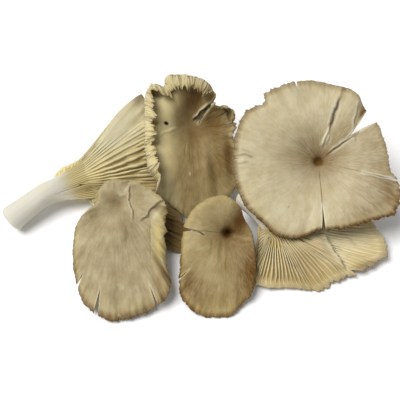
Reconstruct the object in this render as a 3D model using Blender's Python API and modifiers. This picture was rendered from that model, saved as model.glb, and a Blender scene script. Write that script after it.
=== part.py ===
"""Oyster mushroom cluster: six picked mushrooms lying against each other on a flat surface.

Units are metres, +Z is up. The origin is the middle of the base of the cluster's bounding box, and
+X runs along the cluster. Each mushroom grew as one piece, so it is one solid: cap, gill side and
stem. It is turned once as a plain unit shape, and then each point of that shape is moved to
its place on the real cap or stem. Cap sizes are in millimetres, in the cap's own frame: x to the
right, y up the cap, z out of the upper face.
"""

from dataclasses import dataclass, field

import bpy
import numpy as np
from mathutils import Euler, Vector

MM = 0.001
COLLECTION = "oyster_mushroom_cluster"

# The turned unit shape: ring places as shares of the cap's radius, and as shares of the stem's length.
SPOKES = 56
SKIN_RINGS = (0.12, 0.28, 0.48, 0.70, 0.88, 1.0)
GILL_RINGS = (1.0, 0.84, 0.62, 0.42, 0.26)
STEM_STEPS = (0.12, 0.28, 0.48, 0.72, 1.0)
SKIN_LEVEL = 2.0
GILL_LEVEL = 1.0
STEM_UNIT_RADIUS = 0.2

# Shared proportions of an oyster mushroom.
CURL_FROM = 0.80  # the margin curls outside this share of the radius
NECK_BLEND = 0.55  # the gill side has become the round stem by this share of the stem
FLESH_FALL = 1.4  # how fast the flesh thins towards the margin
TEAR_OVERRUN = 6.0  # a tear's cutter runs this far past the margin
TEAR_DEPTH = 14.0  # and this far to each side of the cap's face
NORMAL_STEP = 0.01  # step of the finite differences that give a surface's normal

SKIN_ROUGHNESS = 0.62


@dataclass
class Mushroom:
    """One mushroom. Lengths are in millimetres and angles in degrees."""

    name: str
    colour: tuple
    crown: tuple  # the skin's point above the stem, in the cluster's frame
    tilt: tuple  # the cap's turn about X, Y and Z
    outline: tuple  # (angle, radius) round the crown
    hollow: float  # how deep the crown lies below the cap's face
    hollow_width: float
    flesh: tuple  # thickness at the crown and at the margin
    stem_bend: tuple  # the point the stem bends towards, in the cluster's frame
    stem_end: tuple  # the cut end's centre, in the cluster's frame
    stem_radii: tuple  # below the cap, and at the cut end
    gills_up: bool = False
    curl: tuple = ((0, 0), (180, 0))  # (angle, turn of the margin towards the skin)
    waves: tuple = ()  # (number round the cap, height, phase, starts at share)
    swells: tuple = ()  # (x, y, half width, half length, turn, height)
    tears: tuple = ()  # (angle, how far from the crown it starts, how wide it is at the margin)
    axes: np.ndarray = field(default=None, repr=False)

    def __post_init__(self):
        turn = Euler([np.radians(a) for a in self.tilt], "XYZ").to_matrix()
        self.axes = np.array(turn)
        self.crown = np.array(self.crown, float)
        self.stem_bend = np.array(self.stem_bend, float)
        self.stem_end = np.array(self.stem_end, float)


MUSHROOMS = (
    Mushroom(
        name="large_mushroom",
        colour=(0.56, 0.47, 0.30),
        crown=(60.8, 77.0, 27.8),
        tilt=(30, 0, 0),
        outline=(
            (20, 33.5), (36, 34.5), (49, 35), (64, 39), (80, 38.5), (96, 40.5), (109, 42),
            (124, 43.5), (135, 41), (147, 45.5), (162, 45), (175, 44.5), (190, 44.5), (208, 44.5),
            (227, 43), (239, 44), (252, 41.5), (271, 35), (298, 37), (315, 41), (325, 45.5),
            (341, 42.5), (356, 34.5),
        ),
        hollow=11.0,
        hollow_width=17.0,
        flesh=(6.5, 1.6),
        stem_bend=(61.5, 86.5, 16.0),
        stem_end=(62.5, 93.5, 3.5),
        stem_radii=(7.5, 6.5),
        curl=((0, 0), (90, 10), (180, -18), (270, -18), (330, 0)),
        waves=((3, 1.2, 60, 0.4), (7, 0.6, 15, 0.6)),
        tears=((41, 14, 8), (273, 26, 2), (349, 28, 1.5)),
    ),
    Mushroom(
        name="upturned_mushroom",
        colour=(0.55, 0.45, 0.27),
        crown=(38.5, 49.0, 8.1),
        tilt=(9, 0, 0),
        outline=(
            (1, 52.5), (20, 42), (40, 30), (60, 20), (80, 13), (105, 9.5), (135, 8), (180, 8.5),
            (210, 10.5), (229, 15.5), (246, 27.5), (251, 32), (278, 32), (293, 35), (306, 40),
            (316, 41), (325, 45), (338, 53.5), (347, 59), (351, 58),
        ),
        hollow=3.0,
        hollow_width=26.0,
        flesh=(7.0, 2.2),
        stem_bend=(32.0, 54.6, 18.5),
        stem_end=(22.5, 64.0, 15.5),
        stem_radii=(7.2, 6.0),
        gills_up=True,
        waves=((4, 0.5, 20, 0.5),),
        tears=((331, 36, 3),),
    ),
    Mushroom(
        name="ruffled_mushroom",
        colour=(0.42, 0.33, 0.19),
        crown=(-3.7, 96.7, 26.5),
        tilt=(35, 0, 0),
        outline=(
            (12, 23.5), (22, 26), (34, 26), (42, 20), (50, 18.5), (60, 19.5), (70, 22), (80, 24.5),
            (94, 26), (107, 28.5), (117, 30), (132, 32.5), (139, 33.5), (157, 26), (180, 23.5),
            (204, 25.5), (224, 30), (237, 34.5), (246, 37), (261, 43), (267, 45.5), (280, 42),
            (300, 38), (318, 33), (332, 27), (354, 21),
        ),
        hollow=9.0,
        hollow_width=16.0,
        flesh=(6.0, 1.8),
        stem_bend=(-2.5, 101.0, 15.0),
        stem_end=(-1.0, 101.5, 0.9),
        stem_radii=(6.8, 6.0),
        curl=((20, 30), (60, 20), (90, 70), (125, 55), (160, 20), (200, 10), (250, -10), (320, 0)),
        waves=((2, 2.0, 20, 0.3), (5, 1.6, 10, 0.5), (11, 0.9, 0, 0.75)),
    ),
    Mushroom(
        name="long_stem_mushroom",
        colour=(0.55, 0.47, 0.28),
        crown=(-70.5, 76.2, 9.0),
        tilt=(34, 0, 0),
        outline=(
            (0, 52), (20, 50), (35, 53), (43, 55), (49, 58), (51, 50), (52.5, 34), (55, 20),
            (61, 13), (80, 9), (120, 7), (180, 6.5), (240, 7), (290, 8), (310, 10), (322, 14),
            (331, 24), (337, 52), (343, 60), (350, 57),
        ),
        hollow=0.0,
        hollow_width=20.0,
        flesh=(6.0, 2.2),
        stem_bend=(-78.0, 70.0, 14.0),
        stem_end=(-99.5, 53.5, 6.5),
        stem_radii=(6.2, 6.4),
        gills_up=True,
        waves=((3, 1.0, 10, 0.4),),
        swells=((62, -22, 34, 16, 0, -6),),
    ),
    Mushroom(
        name="split_cap_mushroom",
        colour=(0.46, 0.38, 0.25),
        crown=(-41.4, 57.2, 23.0),
        tilt=(20, 0, 0),
        outline=(
            (15, 18), (31, 14.5), (52, 12), (80, 10), (116, 11), (155, 11.5), (199, 17),
            (211, 24.5), (223, 30.5), (235, 39), (245, 48), (252, 55), (261, 60.5), (268, 63.5),
            (280, 61), (288, 58.5), (296, 56), (303, 50), (308, 42.5), (322, 32), (338, 28),
            (357, 24),
        ),
        hollow=3.0,
        hollow_width=12.0,
        flesh=(6.0, 1.8),
        stem_bend=(-42.0, 54.5, 10.0),
        stem_end=(-43.0, 52.0, 2.0),
        stem_radii=(5.2, 5.2),
        curl=((0, -35), (60, -20), (120, -20), (180, -25), (240, -25), (300, -20)),
        waves=((3, 0.8, 200, 0.4),),
        tears=((259, 46, 2.5), (291, 42, 1.5)),
    ),
    Mushroom(
        name="small_mushroom",
        colour=(0.44, 0.35, 0.20),
        crown=(13.8, 43.3, 13.2),
        tilt=(25, 0, 0),
        outline=(
            (33, 10.5), (72, 15.5), (98, 19), (126, 20), (152, 21.5), (175, 22.5), (195, 24.5),
            (215, 29.5), (225, 35), (234, 40), (242, 42.5), (252, 44), (263, 43), (272, 42),
            (281, 37), (291, 33.5), (304, 25), (322, 17.5), (352, 12.5),
        ),
        hollow=8.0,
        hollow_width=10.0,
        flesh=(4.5, 1.8),
        stem_bend=(14.0, 46.5, 5.0),
        stem_end=(15.0, 52.0, 3.8),
        stem_radii=(4.6, 4.2),
        curl=((0, 0), (90, -25), (180, -40), (230, -30), (270, -20), (320, -10)),
        waves=((3, 0.6, 120, 0.4),),
        tears=((178, 12, 1.5),),
    ),
)


def smooth(t):
    """0 before 0, 1 after 1, and an even S between."""
    t = np.clip(t, 0.0, 1.0)
    return t * t * (3 - 2 * t)


def round_curve(knots, angle):
    """A closed smooth curve through (angle, value) knots, read at angles in degrees. It never overshoots a knot."""
    at = np.array([k[0] for k in knots], float)
    value = np.array([k[1] for k in knots], float)
    at = np.concatenate([at[-2:] - 360, at, at[:2] + 360])
    value = np.concatenate([value[-2:], value, value[:2]])
    step = np.diff(at)
    slope = np.diff(value) / step
    same_way = slope[:-1] * slope[1:] > 0
    total = np.where(same_way, slope[:-1] + slope[1:], 1.0)
    inner = np.where(same_way, 2 * slope[:-1] * slope[1:] / total, 0.0)
    ends = np.concatenate([[0.0], inner, [0.0]])
    where = (np.asarray(angle, float) - at[1]) % 360 + at[1]
    i = np.clip(np.searchsorted(at, where, side="right") - 1, 0, len(step) - 1)
    t = (where - at[i]) / step[i]
    return (
        value[i] * (1 + 2 * t) * (1 - t) ** 2
        + value[i + 1] * t**2 * (3 - 2 * t)
        + step[i] * (ends[i] * t * (1 - t) ** 2 - ends[i + 1] * t**2 * (1 - t))
    )


def spoke_angles(m, turn):
    """Angles round the crown for shares of a whole turn, spaced so that the spokes meet the margin evenly."""
    fine = np.linspace(0, 360, 721)
    radius = round_curve(m.outline, fine)
    x = radius * np.cos(np.radians(fine))
    y = radius * np.sin(np.radians(fine))
    length = np.concatenate([[0.0], np.cumsum(np.hypot(np.diff(x), np.diff(y)))])
    return np.interp(turn, length / length[-1], fine)


def skin_points(m, share, angle):
    """Points of the cap's skin in the cluster's frame, from shares of the radius and angles in degrees."""
    radius = round_curve(m.outline, angle)
    reach = share * radius
    height = m.hollow * (1 - np.exp(-((reach / m.hollow_width) ** 2)))
    for number, rise, phase, start in m.waves:
        height = height + rise * smooth((share - start) / (1 - start)) * np.cos(
            np.radians(number * (angle - phase))
        )
    past = np.maximum(share - CURL_FROM, 0.0)
    bend = np.radians(round_curve(m.curl, angle)) * past / (1 - CURL_FROM)
    bend = np.where(np.abs(bend) < 1e-6, 1e-6, bend)
    reach = reach - past * radius * (1 - np.sin(bend) / bend)
    height = height + past * radius * (1 - np.cos(bend)) / bend
    x = reach * np.cos(np.radians(angle))
    y = reach * np.sin(np.radians(angle))
    for cx, cy, wide, long, turn, rise in m.swells:
        c, s = np.cos(np.radians(turn)), np.sin(np.radians(turn))
        along = ((x - cx) * c + (y - cy) * s) / wide
        over = ((y - cy) * c - (x - cx) * s) / long
        height = height + rise * np.exp(-(along**2) - over**2)
    side = -1.0 if m.gills_up else 1.0
    local = np.stack([x, y, side * height], axis=-1)
    return m.crown + local @ m.axes.T


def skin_normals(m, share, angle):
    """Unit normals out of the skin."""
    share = np.maximum(share, 2 * NORMAL_STEP)
    spread = np.degrees(NORMAL_STEP)
    out = skin_points(m, share + NORMAL_STEP, angle) - skin_points(m, share - NORMAL_STEP, angle)
    round_ = skin_points(m, share, angle + spread) - skin_points(m, share, angle - spread)
    normal = np.cross(out, round_)
    normal /= np.linalg.norm(normal, axis=-1, keepdims=True)
    return -normal if m.gills_up else normal


def gill_points(m, share, angle):
    """Points of the cap's gill side: the skin, less the flesh, which thins towards the margin."""
    core, edge = m.flesh
    thick = edge + (core - edge) * np.maximum(1 - share, 0.0) ** FLESH_FALL
    return skin_points(m, share, angle) - thick[..., None] * skin_normals(m, share, angle)


def stem_points(m, step, angle):
    """Points of the stem's side, step 0 at the cap and 1 at the cut end: the neck blends into a round stem."""
    side = -1.0 if m.gills_up else 1.0
    down = -side * m.axes[:, 2]
    start = m.crown + down * m.flesh[0]
    t = step[..., None]
    centre = start * (1 - t) ** 2 + m.stem_bend * 2 * t * (1 - t) + m.stem_end * t**2
    run = 2 * (m.stem_bend - start) * (1 - t) + 2 * (m.stem_end - m.stem_bend) * t
    run /= np.linalg.norm(run, axis=-1, keepdims=True)
    radius = m.stem_radii[0] + (m.stem_radii[1] - m.stem_radii[0]) * step
    ring = np.empty(angle.shape + (3,))
    for i, (direction, a) in enumerate(zip(run, angle)):
        turn = Vector(down).rotation_difference(Vector(direction))
        across = np.array(turn @ Vector(m.axes[:, 0]))
        up = np.array(turn @ Vector(m.axes[:, 1]))
        ring[i] = across * np.cos(np.radians(a)) + up * np.sin(np.radians(a))
    round_stem = centre + radius[..., None] * ring
    neck = gill_points(m, np.full(angle.shape, GILL_RINGS[-1]), angle) + centre - start
    blend = smooth(step / NECK_BLEND)[..., None]
    return neck * (1 - blend) + round_stem * blend


def turned_unit_mushroom():
    """The plain shape that every mushroom starts from: a profile turned about Z, whose heights only say which face a point is on."""
    profile = [(0.0, SKIN_LEVEL)]
    profile += [(ring, SKIN_LEVEL) for ring in SKIN_RINGS]
    profile += [(ring, GILL_LEVEL) for ring in GILL_RINGS]
    profile += [(STEM_UNIT_RADIUS, -step) for step in STEM_STEPS]
    profile += [(0.0, -STEM_STEPS[-1])]
    mesh = bpy.data.meshes.new("profile")
    ends = [(i, i + 1) for i in range(len(profile) - 1)]
    mesh.from_pydata([(x, 0, z) for x, z in profile], ends, [])
    turned = bpy.data.objects.new("profile", mesh)
    bpy.context.scene.collection.objects.link(turned)
    screw = turned.modifiers.new("turn", "SCREW")
    screw.steps = SPOKES
    screw.render_steps = SPOKES
    screw.use_merge_vertices = True
    screw.merge_threshold = 0.00001
    graph = bpy.context.evaluated_depsgraph_get()
    unit = bpy.data.meshes.new_from_object(turned.evaluated_get(graph))
    bpy.data.objects.remove(turned)
    return unit


def shape_mesh(unit, m):
    """A copy of the unit shape with every point moved to its place on this mushroom, in metres."""
    mesh = unit.copy()
    flat = np.empty(len(mesh.vertices) * 3)
    mesh.vertices.foreach_get("co", flat)
    x, y, level = flat.reshape(-1, 3).T
    share = np.hypot(x, y)
    angle = spoke_angles(m, np.arctan2(y, x) / (2 * np.pi) % 1.0)
    placed = np.empty((len(share), 3))
    skin = level > (SKIN_LEVEL + GILL_LEVEL) / 2
    gill = ~skin & (level > GILL_LEVEL / 2)
    stem = ~skin & ~gill
    placed[skin] = skin_points(m, share[skin], angle[skin])
    placed[gill] = gill_points(m, share[gill], angle[gill])
    placed[stem] = stem_points(m, -level[stem], angle[stem])
    placed[stem & (share < STEM_UNIT_RADIUS / 2)] = m.stem_end
    mesh.vertices.foreach_set("co", (placed * MM).ravel())
    if m.gills_up:
        mesh.flip_normals()
    mesh.shade_smooth()
    return mesh


def tear_cutter(m, angle, start, width):
    """A wedge that opens a tear from a point on the cap out past its margin."""
    long = round_curve(m.outline, angle) + TEAR_OVERRUN - start
    half = width / 2 * (1 + TEAR_OVERRUN / long)
    corners = [(start, 0), (start + long, -half), (start + long, half)]
    c, s = np.cos(np.radians(angle)), np.sin(np.radians(angle))
    side = -1.0 if m.gills_up else 1.0
    low, high = (-TEAR_DEPTH, TEAR_DEPTH)
    points = []
    for level in (low, high):
        for out, across in corners:
            local = np.array([out * c - across * s, out * s + across * c, side * m.hollow + level])
            points.append((m.crown + m.axes @ local) * MM)
    mesh = bpy.data.meshes.new(m.name + "_tear")
    faces = [(0, 2, 1), (3, 4, 5), (0, 1, 4, 3), (1, 2, 5, 4), (2, 0, 3, 5)]
    mesh.from_pydata([tuple(p) for p in points], [], faces)
    cutter = bpy.data.objects.new(m.name + "_tear", mesh)
    bpy.context.scene.collection.objects.link(cutter)
    return cutter


def tear(mushroom, m):
    """Cuts the mushroom's tears and leaves a plain mesh."""
    for angle, start, width in m.tears:
        cutter = tear_cutter(m, angle, start, width)
        cut = mushroom.modifiers.new("tear", "BOOLEAN")
        cut.operation = "DIFFERENCE"
        cut.solver = "EXACT"
        cut.object = cutter
        graph = bpy.context.evaluated_depsgraph_get()
        whole = bpy.data.meshes.new_from_object(mushroom.evaluated_get(graph))
        mushroom.modifiers.remove(cut)
        mushroom.data = whole
        bpy.data.objects.remove(cutter)


def skin_material(m):
    """A matt beige skin in this mushroom's own tone."""
    material = bpy.data.materials.new(m.name + "_skin")
    material.use_nodes = True
    shader = material.node_tree.nodes["Principled BSDF"]
    shader.inputs["Base Color"].default_value = (*m.colour, 1.0)
    shader.inputs["Roughness"].default_value = SKIN_ROUGHNESS
    shader.inputs["Metallic"].default_value = 0.0
    return material


def stand_on_origin(objects):
    """Moves the whole cluster so that the middle of its bounding box's base is the origin."""
    points = [corner.co for o in objects for corner in o.data.vertices]
    low = Vector([min(p[i] for p in points) for i in range(3)])
    high = Vector([max(p[i] for p in points) for i in range(3)])
    base = Vector(((low.x + high.x) / 2, (low.y + high.y) / 2, low.z))
    for o in objects:
        o.location = -base


def main():
    for old in list(bpy.data.objects):
        bpy.data.objects.remove(old)
    cluster = bpy.data.collections.new(COLLECTION)
    bpy.context.scene.collection.children.link(cluster)
    unit = turned_unit_mushroom()
    made = []
    for m in MUSHROOMS:
        mushroom = bpy.data.objects.new(m.name, shape_mesh(unit, m))
        mushroom.data.materials.append(skin_material(m))
        cluster.objects.link(mushroom)
        tear(mushroom, m)
        made.append(mushroom)
    stand_on_origin(made)


main()
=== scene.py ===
"""Oyster mushroom cluster: six picked mushrooms lying against each other on a pale surface.

Each mushroom is one closed mesh: the cap's skin from its crown out to the margin, round the margin
and back along the gill side, and down the stem to its cut end. Lengths in the shape tables are in
millimetres in each cap's own plane: x to the right, y up the cap, z out of its upper face.
"""

import functools
import itertools
from dataclasses import dataclass
from typing import NamedTuple

import bpy
import numpy as np
from bpy.props import FloatProperty, FloatVectorProperty, IntProperty, PointerProperty
from mathutils import Euler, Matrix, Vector, noise


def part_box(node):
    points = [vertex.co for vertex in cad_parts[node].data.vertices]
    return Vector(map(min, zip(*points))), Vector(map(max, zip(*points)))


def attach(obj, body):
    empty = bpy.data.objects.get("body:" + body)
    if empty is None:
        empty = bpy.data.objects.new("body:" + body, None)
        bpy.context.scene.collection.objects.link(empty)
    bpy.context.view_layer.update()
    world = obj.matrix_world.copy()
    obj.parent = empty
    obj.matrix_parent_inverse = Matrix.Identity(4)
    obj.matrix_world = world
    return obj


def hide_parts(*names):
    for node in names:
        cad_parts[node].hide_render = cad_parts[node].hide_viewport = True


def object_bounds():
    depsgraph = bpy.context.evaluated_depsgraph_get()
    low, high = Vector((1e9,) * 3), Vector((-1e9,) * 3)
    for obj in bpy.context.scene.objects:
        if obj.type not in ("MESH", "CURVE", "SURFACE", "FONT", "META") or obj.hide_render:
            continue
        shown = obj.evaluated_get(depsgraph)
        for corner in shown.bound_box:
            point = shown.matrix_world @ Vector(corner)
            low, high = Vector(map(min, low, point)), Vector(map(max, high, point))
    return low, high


bl_info = {
    "name": "Oyster Mushroom Cluster",
    "version": (1, 0, 0),
    "blender": (4, 5, 0),
    "location": "View3D > Sidebar > Mushrooms",
    "description": "Builds a cluster of picked oyster mushrooms with real gills, torn margins and fibrous skin",
    "category": "Add Mesh",
}

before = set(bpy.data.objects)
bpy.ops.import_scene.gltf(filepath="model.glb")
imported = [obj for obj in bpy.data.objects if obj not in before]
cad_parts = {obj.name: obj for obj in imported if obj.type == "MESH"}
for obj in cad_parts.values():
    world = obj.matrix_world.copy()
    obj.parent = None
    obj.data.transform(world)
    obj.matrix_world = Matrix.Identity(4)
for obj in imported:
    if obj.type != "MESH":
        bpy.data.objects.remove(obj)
CAD_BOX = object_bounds()

MM = 0.001

# Rows of the mesh, from the crown to the margin, back along the gill side and down the stem.
ROWS = {False: (84, 16), True: (30, 62)}  # of the skin and of the gill side, by whether the gills are up
SKIN_SPREAD, GILL_SPREAD = 0.85, 1.25  # how the rows crowd together towards the margin
RIM_STEPS = (0.2, 0.5, 0.8)  # round the margin, from the skin to the gills
RIM_UNDERSIDE = (0.3, 0.6, 0.9)  # how far each of those rows takes the gill side's colour
RIM_BULGE = 0.42  # as a share of the margin's thickness
STEM_ROWS = 16
STEM_TIP = ((0.985, 0.6), (0.92, 1.4), (0.78, 2.1), (0.55, 2.5), (0.28, 2.6))  # (share of the width, length)
STEM_TIP_END = 2.55
STEM_LUMPS = ((0.05, 1.2, 2.5, 0), (0.012, 7, 3, 5))  # (height, how many round it, and along it, seed step)
NECK_SHARE = 0.24  # the gill side turns into the stem at this share of the radius
NECK_BLEND = 0.55
FOLD_RADIUS = 1.3  # of a margin that is turned right over, in millimetres
FLESH_FALL = 1.4

# Columns of the mesh: four gills to a group, and four columns to a gill.
EVEN_MARKS = (-0.09375, -0.03125, 0.03125, 0.09375)
WALL_MARK = 0.05  # the marks beyond this stand at the foot of the blade's wall
BLADE_SHARE = 0.062  # half a blade's width at the margin, as a share of the group
BLADE_LIMIT = 0.100
BLADE_WALL = 0.012
BLADE_START = 0.06  # the blades are at their full width this share of the radius in from the margin
TEAR_STEP = 2.5  # a tear's edge gets a column about every so many millimetres
TEAR_PAD = 0.09  # no gill stands nearer to a tear than this, as a share of the group
TEAR_SPREAD = 14  # how many degrees round a tear its lips are lifted

# Widths of the waves round the margin, and the lumps of the skin.
NIBBLES, FINE_NIBBLES = (9, 6.5, 5), (3.1, 2.3, 1.7)
RUFFLES, CRIMPS = (17, 12, 9), (5, 3.6)
SKIN_LUMPS = ((0.35, 11.0, 0, 6), (0.13, 4.0, 9, 3))  # (height, size, seed step, flatter within)

# What lies lower than PRESS_FROM is pressed flat towards FLOOR_GAP above the floor.
FLOOR_GAP, PRESS_FROM, PRESS_DEPTH = 0.1, 0.8, 0.7

# The marks on the mesh that the colours read, by the input that each one feeds. The browning and darkness marks hold
# painted shade as well as the flesh's own browning; the hollow mark is painted shade in the hollows.
MARKS = {
    "Browning And Shade": "brown", "Yellowing": "yellow", "Paleness": "pale", "Darkness And Shade": "dark", "Hollow Shade": "hollow",
    "Faded": "faded", "Blade": "blade", "Stem Share": "stem_share", "Cap Share": "cap_share",
}
SHADES = (  # (setting, the input that it feeds, description)
    ("skin_light", "Light Skin", "The skin's light fibres"),
    ("skin_dusky", "Dusky Skin", "The skin's dusky fibres"),
    # The brown also paints shade: in the throats, folds and the sides turned from the light.
    ("brown", "Brown", "Browned margin and middle"),
    ("yellow", "Yellow", "Yellowed margin or neck"),
    ("pale", "Pale", "Torn or bleached flesh"),
    ("gill_edge", "Gill Edge", "The blades' edges"),
    # The groove colour is painted shade between the blades.
    ("gill_groove", "Gill Groove Shade", "Between the blades"),
    ("stem", "Stem", "The stem"),
)
# The colours that the darkness mark mixes in: painted shade in the creases, folds and deep throats, in the painted
# hole and on the fan's tip in the gap, and the thin dark line round the margins.
DARK_SKIN_AND_SHADE = (0.030, 0.013, 0.003, 1)
DARK_GILLS_AND_SHADE = (0.02, 0.011, 0.004, 1)

# The main light and the camera, in metres and degrees.
SUN_DIRECTION = (0.40, 0.04, -0.915)
CAMERA_OFFSET, CAMERA_AIM = 0.0013, (-0.0040, 0.0308)  # to the right of the middle; y and z
CAMERA_SIDE = (0, -0.5, 0.8660254)  # the direction that it stands in
CAMERA_LEAN = 30
CAMERA_SENSOR = 36
CAMERA_ACROSS = 0.2  # what it sees from side to side


# ---------------------------------------------------------------------------------------------
# Shapes
# ---------------------------------------------------------------------------------------------


@dataclass
class Cap:
    """One mushroom's shape. Lengths are in millimetres, angles in degrees, places in the cap's plane."""

    node: str
    crown: tuple  # from the low corner of its box
    tilt: float  # how far the cap leans back
    outline: tuple  # (angle, radius)
    hollow: float
    hollow_width: float
    flesh: tuple  # thickness at the crown and at the margin
    stem_bend: tuple  # from the crown
    stem_end: tuple  # from the crown
    stem_radii: tuple
    seed: int
    gills_up: bool = False
    waist: float = 0.0  # how much thinner the stem is half way down
    curl: tuple = ((0, 0), (180, 0))  # (angle, turn of the margin towards the skin)
    curl_from: float = 0.80  # the share of the radius where the margin starts to turn
    waves: tuple = ()  # (number, height, phase, starts at share)
    frill: tuple = ((0, 0), (180, 0))  # (angle, height of the ruffles)
    ragged: tuple = ((0, 0.3), (180, 0.3))  # (angle, depth of the nibbled margin)
    swells: tuple = ()  # (x, y, half width, half length, turn, height)
    tears: tuple = ()  # (angle, start, width, lift before, lift after)
    creases: tuple = ()  # (places along it, width, ridge, step, reach of the step, paleness, darkness of the painted shade along it)
    gill_fade: tuple = ()  # (x, y, half width, half length, turn, share of the gills' height lost)
    gill_band: float = 0.02  # smooth margin beyond the gills, as a share of the radius
    gill_uneven: float = 0.3
    gill_starts: tuple = (0.38, 0.62)  # where the short and the shortest gills start
    hollow_shade: float = 0.5  # how much browner the hollows are, as painted shade in them
    # Brown and dark spots are partly the flesh's own browning and partly painted shade; some pale and yellow spots
    # are painted light.
    spots: tuple = ()  # (tone, x, y, half width, half length, turn, strength)
    margin_brown: tuple = ((0, 0.4), (180, 0.4))  # (angle, strength)
    margin_yellow: tuple = ((0, 0), (180, 0))


LARGE = Cap(
    node="large_mushroom",
    crown=(44.4, 38.2, 27.5),
    tilt=30,
    outline=(
        (20, 33.5), (36, 34.5), (49, 35), (64, 39), (80, 38.5), (96, 40.5), (109, 42), (124, 43.5),
        (130, 44.5), (133, 41), (140, 43), (147, 45.5), (162, 45), (175, 44.5), (190, 44.5),
        (208, 44.5), (227, 43), (239, 44), (252, 41.5), (271, 35), (298, 37), (315, 41), (325, 45.5),
        (341, 42.5), (356, 34.5),
    ),
    hollow=11.0,
    hollow_width=17.0,
    flesh=(5.5, 0.9),
    stem_bend=(0.7, 9.5, -11.8),
    stem_end=(1.7, 16.5, -24.3),
    stem_radii=(7.5, 6.5),
    seed=11,
    curl=((0, 0), (60, -20), (90, 10), (180, -22), (270, -26), (330, 0)),
    waves=((3, 1.2, 60, 0.4), (7, 0.6, 15, 0.6)),
    frill=((0, 0.2), (60, 0.2), (140, 0.5), (200, 0.3), (300, 0.5)),
    ragged=((0, 0.35), (50, 0.2), (90, 0.15), (135, 0.7), (165, 0.2), (230, 0.3), (290, 0.7), (325, 0.7)),
    swells=((0, 0, 2.6, 2.6, 0, -3.5), (22, 27, 4, 9, -35, -1.5)),
    tears=(
        (41, 17, 7.5, 0.6, -1.4), (272.5, 21, 1.9, 0.3, -0.2), (346, 21, 0.9, -0.9, 0.8),
        (107.5, 38.5, 1.1, 0, 0.4), (178, 39, 0.6, 0.3, -0.3),
    ),
    creases=(
        (((1.3, 7.5), (3.4, 13), (5.6, 19)), 0.6, 0.9, 0.8, 4, 1.0, 0.0),
        (((4.6, 16), (6.8, 24), (9.4, 32)), 0.9, -1.7, 1.2, 5, 1.0, 0.55),
        (((4.0, 9), (5.0, 14)), 0.5, 0.8, 0, 1, 0.6, 0.0),
        (((5.5, 4.8), (12, 9.6), (17, 13.4)), 0.5, -0.5, 0.5, 4, 1.0, 0.2),
        (((18, 9), (17, 20), (20, 33)), 0.6, 0.3, 0.9, 4, 0.5, 0.0),
        (((-42, 3.2), (-38, 3.2), (-33.5, 2.0)), 0.35, -0.6, 0, 1, 0, 0.5),
        (((-42, -1.5), (-38, -0.5), (-36, -0.6)), 0.35, -0.4, 0, 1, 0, 0.35),
        (((-40, 6.2), (-36, 4.6)), 0.3, -0.3, 0, 1, 0, 0.3),
        (((22.5, -7.2), (30, -9), (37, -9.5)), 0.4, -0.3, -0.8, 4, 0.0, 0.2),
    ),
    spots=(
        # The throat spots: its own browning and painted shade of the deep throat.
        ("brown", 0, 0.5, 2.6, 2.2, 0, 1.0), ("dark", -0.3, 0.4, 1.6, 1.3, 0, 0.3),
        ("brown", -0.5, 2, 9, 8, 0, 0.72), ("brown", -1, 3, 19, 16, 0, 0.38),
        ("brown", -7, 6, 5, 7, 20, 0.2), ("brown", 4, -6, 7, 4, 10, 0.2),
        # (36, -16): painted shade on the lower right corner.
        ("brown", 22, -26, 18, 4, 22, 0.35), ("brown", 36, -16, 5, 9, 20, 0.5),
        ("brown", 22.5, 27, 2.6, 7, -20, 0.8), ("brown", 12, 14, 9, 5, 40, 0.3),
        ("dark", -16, -23, 0.3, 0.3, 0, 0.8), ("brown", 7.6, 23, 0.5, 9, -18, 0.45),
        ("pale", 3.6, 12, 1.1, 3.5, -22, 0.9), ("pale", 6.0, 23, 0.45, 9, -18, 0.7),
        ("pale", 27, -7.0, 7, 0.5, -8, 0.6), ("brown", -20, -38, 22, 4, -12, 0.25),
        # (32, 2): painted shade over the right side, away from the light.
        ("brown", 2, 38, 26, 4, 0, 0.15), ("brown", 32, 2, 16, 26, 0, 0.40),
        ("brown", 27, -18, 13, 9, 20, 0.28),
    ),
    margin_brown=(
        (0, 0.25), (60, 0.3), (110, 0.35), (150, 0.6), (200, 0.75), (250, 1.0), (290, 1.0), (320, 0.95),
        (340, 0.5),
    ),
    margin_yellow=((0, 0.1), (180, 0.15), (240, 0.35), (300, 0.3)),
)

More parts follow.
